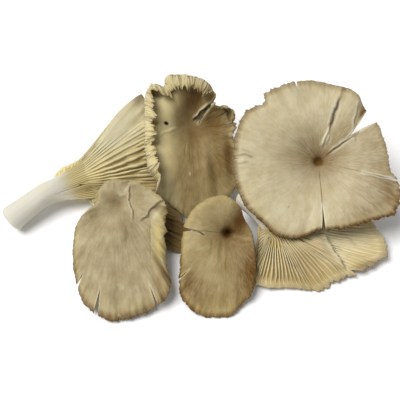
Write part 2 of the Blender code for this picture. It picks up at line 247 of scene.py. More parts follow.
UPTURNED = Cap(
    node="upturned_mushroom",
    crown=(20.3, 32.4, 8.1),
    tilt=9,
    outline=(
        (1, 52.5), (20, 42), (40, 30), (60, 20), (80, 13), (105, 9.5), (135, 8), (180, 8.5),
        (210, 10.5), (229, 15.5), (246, 27.5), (251, 32), (278, 32), (293, 35), (306, 40), (316, 41),
        (325, 45), (338, 53.5), (347, 59), (351, 58),
    ),
    hollow=3.0,
    hollow_width=26.0,
    flesh=(5.0, 1.3),
    stem_bend=(-6.5, 5.6, 10.4),
    stem_end=(-16.0, 15.0, 7.4),
    stem_radii=(7.2, 6.0),
    seed=23,
    gills_up=True,
    curl=((0, -10), (240, -25), (280, -20), (310, 0), (340, -15)),
    waves=((4, 0.5, 20, 0.5),),
    frill=((0, 0.4), (180, 0.2), (260, 0.3), (300, 0.4), (330, 0.5)),
    ragged=((0, 0.6), (180, 0.1), (250, 0.3), (290, 0.4), (320, 1.2), (345, 0.8)),
    tears=((330, 44, 1.2, 0.3, -0.8),),
    creases=(
        (((24.5, -3), (28, -9), (32, -15.5), (36, -22)), 0.6, -0.6, 2.8, 8, 1.0, 0.35),
        (((36, -3), (42, -10)), 0.5, -0.6, 0.3, 2, 0.3, 0.2),
    ),
    gill_fade=((29, -11, 3, 9, 31, 0.7), (43, -6, 13, 10, 10, 0.75)),
    gill_band=0.07,
    gill_starts=(0.25, 0.93),
    spots=(
        ("pale", 30, -9, 8, 8, 20, 0.6), ("pale", 40, -4, 12, 8, 0, 0.3),
        # (26, -13): painted shadow on the left lobe beside the right lobe's edge.
        ("brown", 26, -13, 2.5, 10, 31, 0.5), ("pale", 31, -12, 2.5, 10, 31, 0.8),
        ("brown", 45, -20, 7, 2, 20, 0.7),
        ("yellow", 12, -22, 22, 9, 0, 0.35), ("brown", 12, 2, 20, 4, 0, 0.25),
        ("brown", 15, -20, 12, 12, 0, 0.42), ("brown", 8, -28, 20, 4, -10, 0.25),
    ),
    margin_brown=((0, 0.3), (180, 0.1), (250, 0.25), (285, 0.35), (320, 0.5), (345, 0.6)),
    margin_yellow=((0, 0.2), (250, 0.5), (290, 0.6), (320, 0.3)),
)

RUFFLED = Cap(
    node="ruffled_mushroom",
    crown=(27.0, 40.4, 26.3),
    tilt=35,
    outline=(
        (12, 23.5), (22, 26), (34, 26), (42, 20), (50, 18.5), (60, 23), (70, 29), (80, 33),
        (94, 35), (107, 37), (115, 38.6), (121, 33.5), (125, 34), (132, 39.5), (140, 38), (157, 32),
        (180, 29.7),
        (204, 32), (222, 36.5), (237, 38), (246, 38), (261, 43), (267, 45.5), (280, 42), (300, 38),
        (318, 33), (332, 27), (354, 21),
    ),
    hollow=9.0,
    hollow_width=16.0,
    flesh=(5.0, 0.9),
    stem_bend=(1.2, 4.3, -11.5),
    stem_end=(2.7, 4.8, -25.6),
    stem_radii=(6.8, 6.0),
    seed=37,
    gill_uneven=1.0,
    curl_from=0.75,
    hollow_shade=0.2,
    curl=(
        (10, 60), (35, 90), (58, 40), (75, 165), (115, 165), (135, 120), (160, 150), (200, 150), (228, 140),
        (246, 0), (250, -15), (320, 0),
    ),
    waves=((2, 2.0, 20, 0.3), (5, 1.4, 10, 0.5)),
    frill=(
        (0, 1.4), (30, 2.2), (60, 1.4), (100, 2.0), (135, 2.4), (180, 2.4), (225, 1.8), (245, 0.6),
        (300, 0.3),
    ),
    ragged=(
        (0, 1.0), (30, 1.3), (60, 1.0), (100, 2.0), (140, 1.3), (190, 1.2), (225, 0.8), (245, 0.4),
        (300, 0.2),
    ),
    gill_fade=(
        (6, 28, 14, 6, 0, 0.75), (-16, 24, 8, 8, 0, 0.75), (-24, 4, 6, 14, 0, 0.85),
        (-21, -18, 6, 10, 0, 0.7),
    ),
    swells=(
        (-22, -5, 8, 16, 0, -3.0), (-20, 20, 8, 8, 0, -2.0), (-12, 9, 8, 9, 20, 3.0),
        (-0.5, 14, 5, 12, -12, -4.5), (3, 24, 9, 4, 0, 1.5),
        (11, 5, 5, 8, -55, -2.5), (15, 9, 5, 4, 0, 1.5), (-10, -15, 4.5, 14, 8, 1.8),
        (1.5, -14, 2.6, 16, 6, -1.6), (6.5, -20, 2.8, 15, 8, 1.6), (11.5, -22, 2.4, 14, 8, -1.8),
        (16, -14, 2.6, 12, 8, 1.4), (20, -12, 2.4, 14, 4, -1.4),
    ),
    tears=((56, 4, 1.4, 3.2, -1.6), (30, 19, 1.5, -0.8, 1.2), (12, 18, 1.2, 0.8, -0.8)),
    creases=(
        (((0, 5.5), (4, 10), (9.5, 14.8)), 0.5, 0.8, 2.6, 6, 1.0, 0.9),
        (((-20, -3), (-13, 0.2), (-8, 1.5)), 0.8, 0.6, -0.4, 3, 0, 0.15),
        (((-23, 20), (-17, 18), (-13, 22)), 0.9, -1.0, 0, 1, 0, 0.15),
        (((-24, -10), (-18, -9)), 0.8, -1.0, 0, 1, 0, 0.12),
        (((-23, -19), (-17, -16)), 0.8, -0.8, 0, 1, 0, 0.12),
        (((-24, 6), (-18, 4)), 0.9, -1.0, 0, 1, 0, 0.12),
        (((14, 14), (18, 10), (19, 4)), 0.8, -1.0, -0.8, 3, 0, 0.5),
        (((1.5, -4), (3, -14), (3.5, -24)), 0.5, -0.25, 0, 1, 0, 0.1),
        (((-4, -6), (-3.6, -14)), 0.4, -0.25, 0, 1, 0, 0.08),
        (((-2, -7), (-1.4, -15)), 0.4, -0.25, 0, 1, 0, 0.08),
    ),
    spots=(
        ("hole", -13.8, 4.2, 1.5, 1.2, -30, 1.0), ("pale", -12.2, 3.6, 2.6, 2.2, 0, 0.6),
        # Painted shade: (1, 15) in the funnel under the rolled rim, (10, 4) inside the right lobe.
        ("brown", 1, 15, 5.5, 9, -12, 0.9), ("dark", 1.0, 14, 3, 7, -12, 0.4),
        ("brown", 10, 4, 8, 6, 30, 0.75), ("brown", 0, -1, 5, 6, 0, 0.5),
        # Painted shade: (11.5, -22) and (2, -14) in the valleys between the folds, (17, -12) on the right side away
        # from the light, (5, 19) under the rolled rim.
        ("brown", 11.5, -22, 2.4, 14, 8, 0.35), ("brown", 2, -14, 2.4, 14, 6, 0.25),
        ("brown", 17, -12, 6, 16, 6, 0.7), ("brown", 3, -42, 9, 4, 0, 0.5), ("brown", 5, 19, 9, 4, -8, 0.4),
        ("yellow", -16, 16, 5, 8, -20, 0.8),
        ("brown", -17, 20, 3, 2.5, 0, 0.4), ("brown", 8, -8, 16, 22, 0, 0.22),
        # (-18, -4): partly the cream of the frilled margin, partly painted light over the shade beside it.
        ("yellow", -18, -4, 7, 20, -8, 0.9), ("pale", -14, 0, 7, 1.3, 8, 0.4),
        ("yellow", 19, 12, 5, 6, 0, 0.5), ("brown", 13, 10, 4, 3, 40, 0.5),
        # (-15, -30), (-18, -14) and (-17, 12): painted light, lightening the places that turn away from the light.
        ("pale", -15, -30, 6, 8, 20, 0.45), ("pale", -18, -14, 4, 8, 0, 0.2),
        ("brown", -4, -26, 7, 12, 0, 0.22), ("pale", -17, 12, 6, 8, 0, 0.25),
        ("pale", -1.5, -22, 0.5, 0.6, 0, 0.8), ("yellow", -12, -6, 5, 12, 0, 0.3),
    ),
    margin_brown=(
        (0, 0.4), (25, 0.6), (60, 0.2), (100, 0.22), (130, 0.4), (150, 0.3), (200, 0.2), (250, 0.3),
        (320, 0.4),
    ),
    margin_yellow=((0, 0.9), (60, 1.0), (100, 1.2), (150, 1.2), (220, 1.2), (245, 0.5), (300, 0.2)),
)

LONG_STEM = Cap(
    node="long_stem_mushroom",
    crown=(33.0, 27.9, 8.7),
    tilt=34,
    outline=(
        (0, 52), (20, 50), (35, 54), (43, 58), (49, 60.5), (51.5, 53), (53.2, 44), (54, 32), (56, 20),
        (61, 13),
        # The fan's far tip reaches into the narrow gap between the split and small caps, where it carries painted
        # shade.
        (80, 9), (120, 7), (180, 6.5), (240, 7), (290, 8), (310, 10), (318, 14), (324, 42), (329, 70),
        (334, 77), (342, 65), (350, 57),
    ),
    hollow=0.0,
    hollow_width=20.0,
    flesh=(4.6, 1.0),
    stem_bend=(-7.5, -6.2, 5.0),
    stem_end=(-29.0, -22.7, -2.5),
    stem_radii=(6.4, 6.9),
    seed=41,
    gills_up=True,
    waves=((3, 1.0, 10, 0.4),),
    frill=((0, 0.5), (45, 0.4), (51, 0.0), (200, 0.0), (320, 0.0), (340, 0.6)),
    ragged=((0, 0.4), (48, 0.4), (51, 0.0), (61, 0.0), (90, 0.3), (180, 0.2), (322, 0.0), (340, 0.5)),
    swells=(
        (62, -22, 34, 16, 0, -6), (58, -40, 22, 14, 0, -12.0), (24, 2, 20, 6, 12, 1.4),
        (30, 14, 22, 5, 25, -0.9),
    ),
    gill_fade=((27, 43, 34, 22, 52, 1.6), (11, 4, 14, 10, 10, 0.75), (32, 8, 14, 8, 15, -1.8)),
    gill_uneven=0.9,
    waist=0.9,
    gill_band=0.02,
    gill_starts=(0.2, 0.78),
    spots=(
        ("brown", 38, 43, 2.5, 4, 0, 0.9), ("yellow", 9, 0, 20, 10, 10, 1.0),
        ("pale", 30, 39, 26, 14, 52, 0.2),
        ("brown", 36, -3, 22, 5, 8, 0.35), ("brown", 16, -2, 8, 3.5, 0, 0.55),
        ("brown", 30, 12, 18, 10, 20, 0.12), ("brown", 34, 38, 22, 12, 52, 0.22),
        # (59, -22) and (57, -24): painted shade on the fan's tip deep in the gap.
        ("brown", 59, -22, 20, 32, 0, 1.0), ("dark", 57, -24, 14, 16, 0, 0.3),
        ("pale", 24, 26, 18, 8, 50, 0.15),
    ),
    margin_brown=((0, 0.5), (44, 0.5), (49, 0.9), (52, 0.0), (180, 0.0), (320, 0.0), (335, 0.3)),
    margin_yellow=((0, 0.2), (49, 0.2), (52, 0.0), (62, 0.0), (80, 0.25), (130, 0.2), (180, 0.1)),
)

SPLIT_CAP = Cap(
    node="split_cap_mushroom",
    crown=(22.4, 59.2, 23.1),
    tilt=20,
    outline=(
        (15, 18), (31, 14.5), (52, 12), (80, 10), (116, 11), (155, 11), (176, 10.5), (192, 12), (202, 17.5),
        (211, 24), (223, 30.5), (235, 39), (245, 48), (252, 55), (261, 59.5), (268, 61.5),
        (280, 60), (288, 58.5), (296, 56), (303, 50), (306, 44), (309, 40.5), (322, 32), (338, 28),
        (357, 24),
    ),
    hollow=3.0,
    hollow_width=12.0,
    flesh=(5.0, 0.9),
    stem_bend=(-0.6, -2.7, -13.0),
    stem_end=(-1.6, -5.2, -21.0),
    stem_radii=(5.2, 5.2),
    seed=53,
    curl=(
        (0, -35), (60, -20), (120, -20), (180, -20), (240, -22), (270, -18), (300, -20), (315, -60),
        (340, -60),
    ),
    waves=((3, 0.8, 200, 0.4), (9, 0.4, 0, 0.6)),
    frill=((0, 0.5), (60, 0.4), (180, 0.5), (260, 0.4), (310, 1.5), (345, 1.5)),
    ragged=((0, 0.6), (60, 0.3), (180, 0.4), (240, 0.3), (270, 0.6), (300, 0.4), (315, 1.4), (340, 1.4)),
    swells=(
        (0, -1, 4, 3, 0, -2.0), (-12, -9, 9, 3, 20, -0.8), (8, -13, 4, 7, 15, -0.9),
        (-3, -22, 7, 9, 0, 0.8), (12, 4, 7, 5, 0, 1.2), (-4, 5, 6, 4, 0, 0.8),
    ),
    tears=(
        (259.5, 45, 2.6, 0.5, -0.4), (290.5, 45, 1.5, -0.6, 0.8), (271, 58, 1.2, 0.5, -0.5),
        (245.5, 40, 1.1, 0.5, -0.3), (305.5, 37.5, 2.6, 0.8, -0.8), (52, 5, 0.6, 0.4, -0.8),
        (330, 24.5, 0.8, 0.4, -0.4), (319, 29, 0.7, -0.3, 0.3),
    ),
    creases=(
        (((7.6, -11), (7.4, -5.5), (5.6, -0.5), (5.8, 5), (6.6, 9)), 0.35, -0.2, 0.9, 4, 0.5, 0.15),
        (((10.5, -11.5), (14.6, -9), (16.4, -5), (24, 0.5)), 0.35, -0.2, 1.2, 6, 0.5, 0.15),
        (((16.4, -31), (15.9, -18), (16.2, -10)), 0.6, -0.6, -1.2, 5, 0.0, 0.3),
        (((-1.5, 3.2), (1.5, 2.0), (4.0, 1.8)), 0.9, 0.6, 0, 1, 0.3, 0.15),
        (((-2, 9), (-1.5, 5)), 0.5, -0.3, 0, 1, 0, 0.15),
        (((3.5, -12), (5.5, -18), (4, -23)), 1.2, -0.6, 0, 1, 0, 0.08),
        (((-14, -9), (-10, -8)), 1.2, -0.4, 0, 1, 0, 0.04),
    ),
    spots=(
        ("brown", -1, -1, 5, 4, 0, 0.5), ("brown", -10, -9, 10, 3, 25, 0.3),
        ("brown", 8, -13, 4, 8, 15, 0.35), ("brown", 3, -30, 12, 16, 0, 0.2),
        ("yellow", 21, -22, 2.6, 13, 2, 1.0), ("pale", 1, 2, 1.3, 1.0, 0, 0.7),
        ("pale", 20, -7, 1.2, 6, -35, 0.6), ("brown", 6, -59, 7, 3, 0, 0.35),
        ("brown", 7, 7, 2, 2, 0, 0.4), ("brown", 24, -40, 8, 12, 0, 0.5),
    ),
    margin_brown=(
        (0, 0.1), (90, 0.1), (200, 0.3), (240, 0.7), (270, 0.9), (295, 0.6), (310, 0.2), (340, 0.2),
    ),
    margin_yellow=(
        (0, 0.3), (90, 0.1), (190, 0.2), (230, 0.2), (270, 0.2), (300, 0.3), (315, 1.0), (340, 1.0),
    ),
)

SMALL = Cap(
    node="small_mushroom",
    crown=(24.5, 41.3, 13.5),
    tilt=25,
    outline=(
        (33, 10.5), (72, 15.5), (98, 19), (126, 20), (152, 21.5), (175, 22.5), (195, 24.5),
        (215, 29.5), (225, 35), (234, 40), (242, 42.5), (252, 44), (263, 43), (272, 42), (281, 37),
        (291, 33.5), (304, 25), (322, 17.5), (352, 12.5),
    ),
    hollow=8.0,
    hollow_width=10.0,
    flesh=(3.8, 0.9),
    stem_bend=(0.2, 3.2, -8.2),
    stem_end=(1.2, 8.7, -9.4),
    stem_radii=(4.6, 4.2),
    seed=67,
    curl=((0, 0), (90, -25), (180, -40), (230, -30), (270, -20), (320, -10)),
    waves=((3, 0.6, 120, 0.4),),
    frill=((0, 0.2), (90, 0.2), (180, 0.3), (230, 0.7), (300, 0.4)),
    ragged=((0, 0.15), (90, 0.15), (180, 0.2), (230, 0.5), (300, 0.3)),
    swells=((0.5, 0, 2.6, 2.2, 0, -5.0), (6, 6, 4, 9, -25, -2.0), (-4, -9, 5, 7, 0, 0.8)),
    tears=((176, 14, 2.3, 0.6, -0.7), (224, 26, 1.1, -0.4, 0.6)),
    creases=(
        (((-17, 1.2), (-13.5, 0.2), (-11, -1.4)), 0.45, -0.7, 0.4, 3, 0.5, 0.9),
        (((1, -2), (7, -4.2), (12.5, -5)), 1.3, 0.6, 0, 1, 0.2, 0.0),
        (((-4, -4), (-5, -10), (-5, -16)), 0.7, 0.35, 0, 1, 0, 0),
        (((-1, -5), (-1.4, -12), (-2, -20)), 0.8, 0.35, 0, 1, 0, 0),
        (((-2.6, -3), (-3, -8), (-3.4, -14)), 0.9, -0.25, 0, 1, 0, 0.06),
        (((-7, -3), (-8, -8), (-8.5, -13)), 0.9, -0.25, 0, 1, 0, 0.05),
    ),
    spots=(
        # The throat: its own deep brown and painted shade.
        ("brown", 0.5, 0.5, 3.2, 2.6, 0, 1.0), ("dark", 0.8, 0.6, 2.2, 1.8, 0, 0.75),
        # (7, 7) and (8, 7): painted shade in the fold to the upper right.
        ("brown", 7, 7, 5.5, 11, -25, 1.0), ("dark", 8, 7, 4, 8, -25, 0.45), ("brown", 2, -2, 9, 7, 0, 0.6),
        # (13, -21): painted shade on the right side, which curves away from the light.
        ("brown", 13, -21, 9, 19.5, 8, 1.0), ("brown", 0, -21, 9, 15, 0, 0.25),
        ("brown", -18, -27, 7, 14, 25, 0.7),
        ("yellow", 9, -3.5, 4, 1.2, -20, 0.5), ("brown", -5, -10, 2, 7, 0, 0.2),
    ),
    margin_brown=((0, 0.3), (90, 0.1), (180, 0.3), (225, 0.9), (260, 0.7), (300, 0.6)),
    margin_yellow=((0, 0.1), (180, 0.4), (225, 0.5), (270, 0.4)),
)


def smooth(t):
    """0 before 0, 1 after 1, and an even S between."""
    t = np.clip(t, 0.0, 1.0)
    return t * t * (3 - 2 * t)


def round_curve(knots, angle):
    """A closed smooth curve through (angle, value) knots. It never overshoots a knot."""
    at = np.array([k[0] for k in knots], float)
    value = np.array([k[1] for k in knots], float)
    at = np.concatenate([at[-2:] - 360, at, at[:2] + 360])
    value = np.concatenate([value[-2:], value, value[:2]])
    step = np.diff(at)
    slope = np.diff(value) / step
    same_way = slope[:-1] * slope[1:] > 0
    total = np.where(same_way, slope[:-1] + slope[1:], 1.0)
    inner = np.where(same_way, 2 * slope[:-1] * slope[1:] / total, 0.0)
    ends = np.concatenate([[0.0], inner, [0.0]])
    where = (np.asarray(angle, float) - at[1]) % 360 + at[1]
    i = np.clip(np.searchsorted(at, where, side="right") - 1, 0, len(step) - 1)
    t = (where - at[i]) / step[i]
    return (
        value[i] * (1 + 2 * t) * (1 - t) ** 2
        + value[i + 1] * t**2 * (3 - 2 * t)
        + step[i] * (ends[i] * t * (1 - t) ** 2 - ends[i + 1] * t**2 * (1 - t))
    )


def off_angle(angle, at):
    """How far round from an angle, between -180 and 180."""
    return (angle - at + 180) % 360 - 180


def ring_noise(turn, numbers, seed):
    """Noise between about -1 and 1 round the margin, from waves that close on themselves."""
    rng = np.random.default_rng(seed)
    total = np.zeros_like(turn)
    for number in numbers:
        total = total + np.cos(2 * np.pi * (number * turn + rng.random()))
    return total / np.sqrt(len(numbers))


def lumps(points, size, seed):
    """Smooth noise between about -1 and 1, with lumps about size across."""
    flat = points.reshape(-1, points.shape[-1]) / size
    if flat.shape[1] == 2:
        flat = np.hstack([flat, np.zeros((len(flat), 1))])
    values = [noise.noise((x + seed, y, z)) for x, y, z in flat.tolist()]
    return np.array(values).reshape(points.shape[:-1])


class Outline:
    """A cap's margin: angles against shares of its length, its ripples, and its nibbled radius."""

    def __init__(self, cap):
        self.cap = cap
        self.fine = np.linspace(0, 360, 1441)
        radius = round_curve(cap.outline, self.fine)
        x = radius * np.cos(np.radians(self.fine))
        y = radius * np.sin(np.radians(self.fine))
        run = np.concatenate([[0.0], np.cumsum(np.hypot(np.diff(x), np.diff(y)))])
        self.length = run[-1]
        self.turns = run / run[-1]

    def angle(self, turn):
        whole = np.floor(turn)
        return np.interp(turn - whole, self.turns, self.fine) + 360 * whole

    def turn(self, angle):
        whole = np.floor(np.asarray(angle) / 360)
        return np.interp(angle - 360 * whole, self.fine, self.turns) + whole

    def ripples(self, turn, widths, step):
        """Noise from waves of about these widths."""
        return ring_noise(turn, [int(self.length / width) for width in widths], self.cap.seed + step)

    def radius(self, angle):
        turn = self.turn(angle)
        nibble = 0.6 * self.ripples(turn, NIBBLES, 0) + 0.5 * self.ripples(turn, FINE_NIBBLES, 1) - 0.3
        return round_curve(self.cap.outline, angle) + nibble * round_curve(self.cap.ragged, angle)


def crease_distance(x, y, places):
    """Distance from a crease, positive on its left, and how much of the crease is there."""
    nearest = np.full(x.shape, 1e9)
    across = np.zeros(x.shape)
    for (x1, y1), (x2, y2) in zip(places[:-1], places[1:]):
        long = np.hypot(x2 - x1, y2 - y1)
        ux, uy = (x2 - x1) / long, (y2 - y1) / long
        along = np.clip((x - x1) * ux + (y - y1) * uy, 0, long)
        away = np.hypot(x - x1 - along * ux, y - y1 - along * uy)
        left = np.where((y - y1) * ux - (x - x1) * uy >= 0, 1.0, -1.0)
        closer = away < nearest - 1e-9
        nearest = np.where(closer, away, nearest)
        across = np.where(closer, left * away, across)
    (xa, ya), (xb, yb) = places[0], places[-1]
    across = across + 0.2 * np.sin(0.9 * x + 1.6 * np.sin(0.7 * y)) + 0.07 * np.sin(2.9 * y - 1.3 * x)
    whole = np.hypot(xb - xa, yb - ya)
    through = ((x - xa) * (xb - xa) + (y - ya) * (yb - ya)) / whole
    ends = smooth(through / (0.3 * whole) + 0.25) * smooth((whole - through) / (0.3 * whole) + 0.25)
    return across, ends


def oval(x, y, cx, cy, wide, long, turn):
    """1 in the middle of an oval and 0 well outside it."""
    c, s = np.cos(np.radians(turn)), np.sin(np.radians(turn))
    u = ((x - cx) * c + (y - cy) * s) / wide
    v = ((y - cy) * c - (x - cx) * s) / long
    return np.exp(-(u**2) - v**2)


def skin_surface(cap, outline, reach, angle, fine=True):
    """Places on the cap's skin in its own plane, from distances from the crown and angles."""
    radius = round_curve(cap.outline, angle)
    share = reach / radius
    turn = outline.turn(angle)
    height = cap.hollow * (1 - np.exp(-((reach / cap.hollow_width) ** 2)))
    for number, rise, phase, start in cap.waves:
        wave = np.cos(np.radians(number * (angle - phase)))
        height = height + rise * smooth((share - start) / (1 - start)) * wave
    frill = round_curve(cap.frill, angle)
    ruffle = outline.ripples(turn, RUFFLES, 2)
    height = height + frill * ruffle * smooth((share - 0.55) / 0.45)
    if fine:
        height = height + 0.4 * frill * outline.ripples(turn, CRIMPS, 3) * smooth((share - 0.8) / 0.2)
    for at, start, _, before, after in cap.tears:
        side = off_angle(angle, at)
        near = np.exp(-((side / TEAR_SPREAD) ** 2)) * smooth((reach - start) / np.maximum(radius - start, 1))
        height = height + near * np.where(side < -1e-9, before, np.where(side > 1e-9, after, 0))
    past = np.maximum(share - cap.curl_from, 0.0) * radius
    bend = np.radians(round_curve(cap.curl, angle)) * (1 + 0.15 * ruffle)
    bend = np.where(np.abs(bend) < 1e-4, 1e-4, bend)
    room = (1 - cap.curl_from) * radius
    arc = room + (np.minimum(room, FOLD_RADIUS * np.abs(bend)) - room) * smooth(np.abs(bend) - 0.7)
    inside = np.minimum(past, arc)
    beyond = past - inside
    turned = bend * inside / arc
    reach = reach - past + arc / bend * np.sin(turned) + beyond * np.cos(bend)
    height = height + arc / bend * (1 - np.cos(turned)) + beyond * np.sin(bend)
    x = reach * np.cos(np.radians(angle))
    y = reach * np.sin(np.radians(angle))
    for *where, rise in cap.swells:
        height = height + rise * oval(x, y, *where)
    if fine:
        for places, width, ridge, step, spread, _, _ in cap.creases:
            across, ends = crease_distance(x, y, places)
            lip = step * np.tanh(across / width) * np.exp(-np.abs(across) / spread)
            height = height + ends * (ridge * np.exp(-((across / width) ** 2)) + lip)
        plane = np.stack([x, y], axis=-1)
        for rise, size, step, flat in SKIN_LUMPS:
            height = height + rise * lumps(plane, size, cap.seed + step) * smooth(reach / flat)
    side = -1.0 if cap.gills_up else 1.0
    return np.stack([x, y, side * height], axis=-1)


def grid_normals(places, flip):
    """Unit normals of a grid of places whose columns go right round."""
    down = np.gradient(places, axis=0)
    around = np.roll(places, -1, axis=1) - np.roll(places, 1, axis=1)
    normal = np.cross(down, around)
    normal /= np.maximum(np.linalg.norm(normal, axis=-1, keepdims=True), 1e-9)
    return -normal if flip else normal


class Column(NamedTuple):
    """A column of the mesh, from the crown over the margin to the stem's cut end."""

    phase: float  # where it stands among the gills, in groups
    centre: float  # the middle of its gill
    sign: int  # the side of its gill that it is on
    wall: bool  # whether it is at the foot of the blade's wall
    angle: float | None = None  # the angle that it keeps along a tear
    reach: float | None = None  # how far out it goes along a tear


def margin_columns(cap, outline, groups):
    """The mesh's columns in order round the margin: four to a gill, and more along each tear."""
    columns = []
    for group, gill, mark in itertools.product(range(groups), range(4), EVEN_MARKS):
        centre = group + gill / 4
        columns.append(Column(centre + mark, centre, 1 if mark > 0 else -1, abs(mark) > WALL_MARK))
    cleared = []
    for at, start, width, _, _ in cap.tears:
        radius = float(outline.radius(np.array([at]))[0])
        half = np.degrees(width / 2 / radius)
        steps = max(3, int((radius - start) / TEAR_STEP))
        pad = TEAR_PAD / groups * 360 * outline.length / (2 * np.pi * radius)
        cleared.append((at, half + pad))
        for k in range(-steps, steps + 1):
            inward = 1 - abs(k) / steps
            angle = (at + np.sign(k) * half * abs(k) / steps) % 360
            reach = start if k == 0 else radius + (start - radius) * inward
            phase = float(outline.turn(angle)) * groups
            columns.append(Column(phase, phase, 0, False, angle, reach))

    def stands(column):
        angle = float(outline.angle(np.array(column.phase / groups % 1.0)))
        return not any(abs(off_angle(angle, at)) < half for at, half in cleared)

    kept = [column for column in columns if column.angle is not None or stands(column)]
    return sorted(kept, key=lambda column: column.phase % groups)


def row_angles(outline, columns, groups, share, blade):
    """The columns' angles along one row. blade is 0 for even columns and 1 for columns at the blades' edges."""
    half = min(BLADE_SHARE / max(share, 0.05), BLADE_LIMIT)
    turns = np.empty(len(columns))
    for i, (phase, centre, sign, wall, fixed, _) in enumerate(columns):
        edge = centre + sign * (half + (BLADE_WALL if wall else 0.0))
        turns[i] = phase + blade * (edge - phase) if fixed is None else phase
    return outline.angle(turns / groups)


def gill_height(cap, share, depth):
    """How far a gill stands out of the flesh at a share of the radius."""
    return depth * smooth((1 - share - cap.gill_band) / 0.14) * (1 - 0.35 * smooth((0.5 - share) / 0.3))


def blurred(values, along, around):
    """A grid evened out over so many rows and columns."""
    for axis, reach in ((0, along), (1, around)):
        kernel = np.exp(-0.5 * (np.arange(-2 * reach, 2 * reach + 1) / reach) ** 2)
        kernel /= kernel.sum()
        pad = [(2 * reach, 2 * reach) if k == axis else (0, 0) for k in (0, 1)]
        padded = np.pad(values, pad, mode="wrap" if axis else "edge")
        values = np.apply_along_axis(lambda line: np.convolve(line, kernel, mode="valid"), axis, padded)
    return values


def pressed(height):
    """Heights above the floor, with whatever reaches the floor pressed flat against it."""
    squeezed = FLOOR_GAP + PRESS_DEPTH * np.exp(np.minimum(height - PRESS_FROM, 0) / PRESS_DEPTH)
    return np.where(height > PRESS_FROM, height, squeezed)


def turned_rings(cap, axes, start, bend, end):
    """Centres and sideways axes of the stem's rings, from the neck to the cut end."""
    steps = np.linspace(0, 0.95, STEM_ROWS + 1)[1:]
    down = axes[:, 2] * (1.0 if cap.gills_up else -1.0)
    rings = []
    for t in steps:
        centre = start * (1 - t) ** 2 + bend * 2 * t * (1 - t) + end * t**2
        run = (bend - start) * (1 - t) + (end - bend) * t
        turn = Vector(down).rotation_difference(Vector(run))
        rings.append((t, centre, np.array(turn @ Vector(axes[:, 0])), np.array(turn @ Vector(axes[:, 1]))))
    return rings


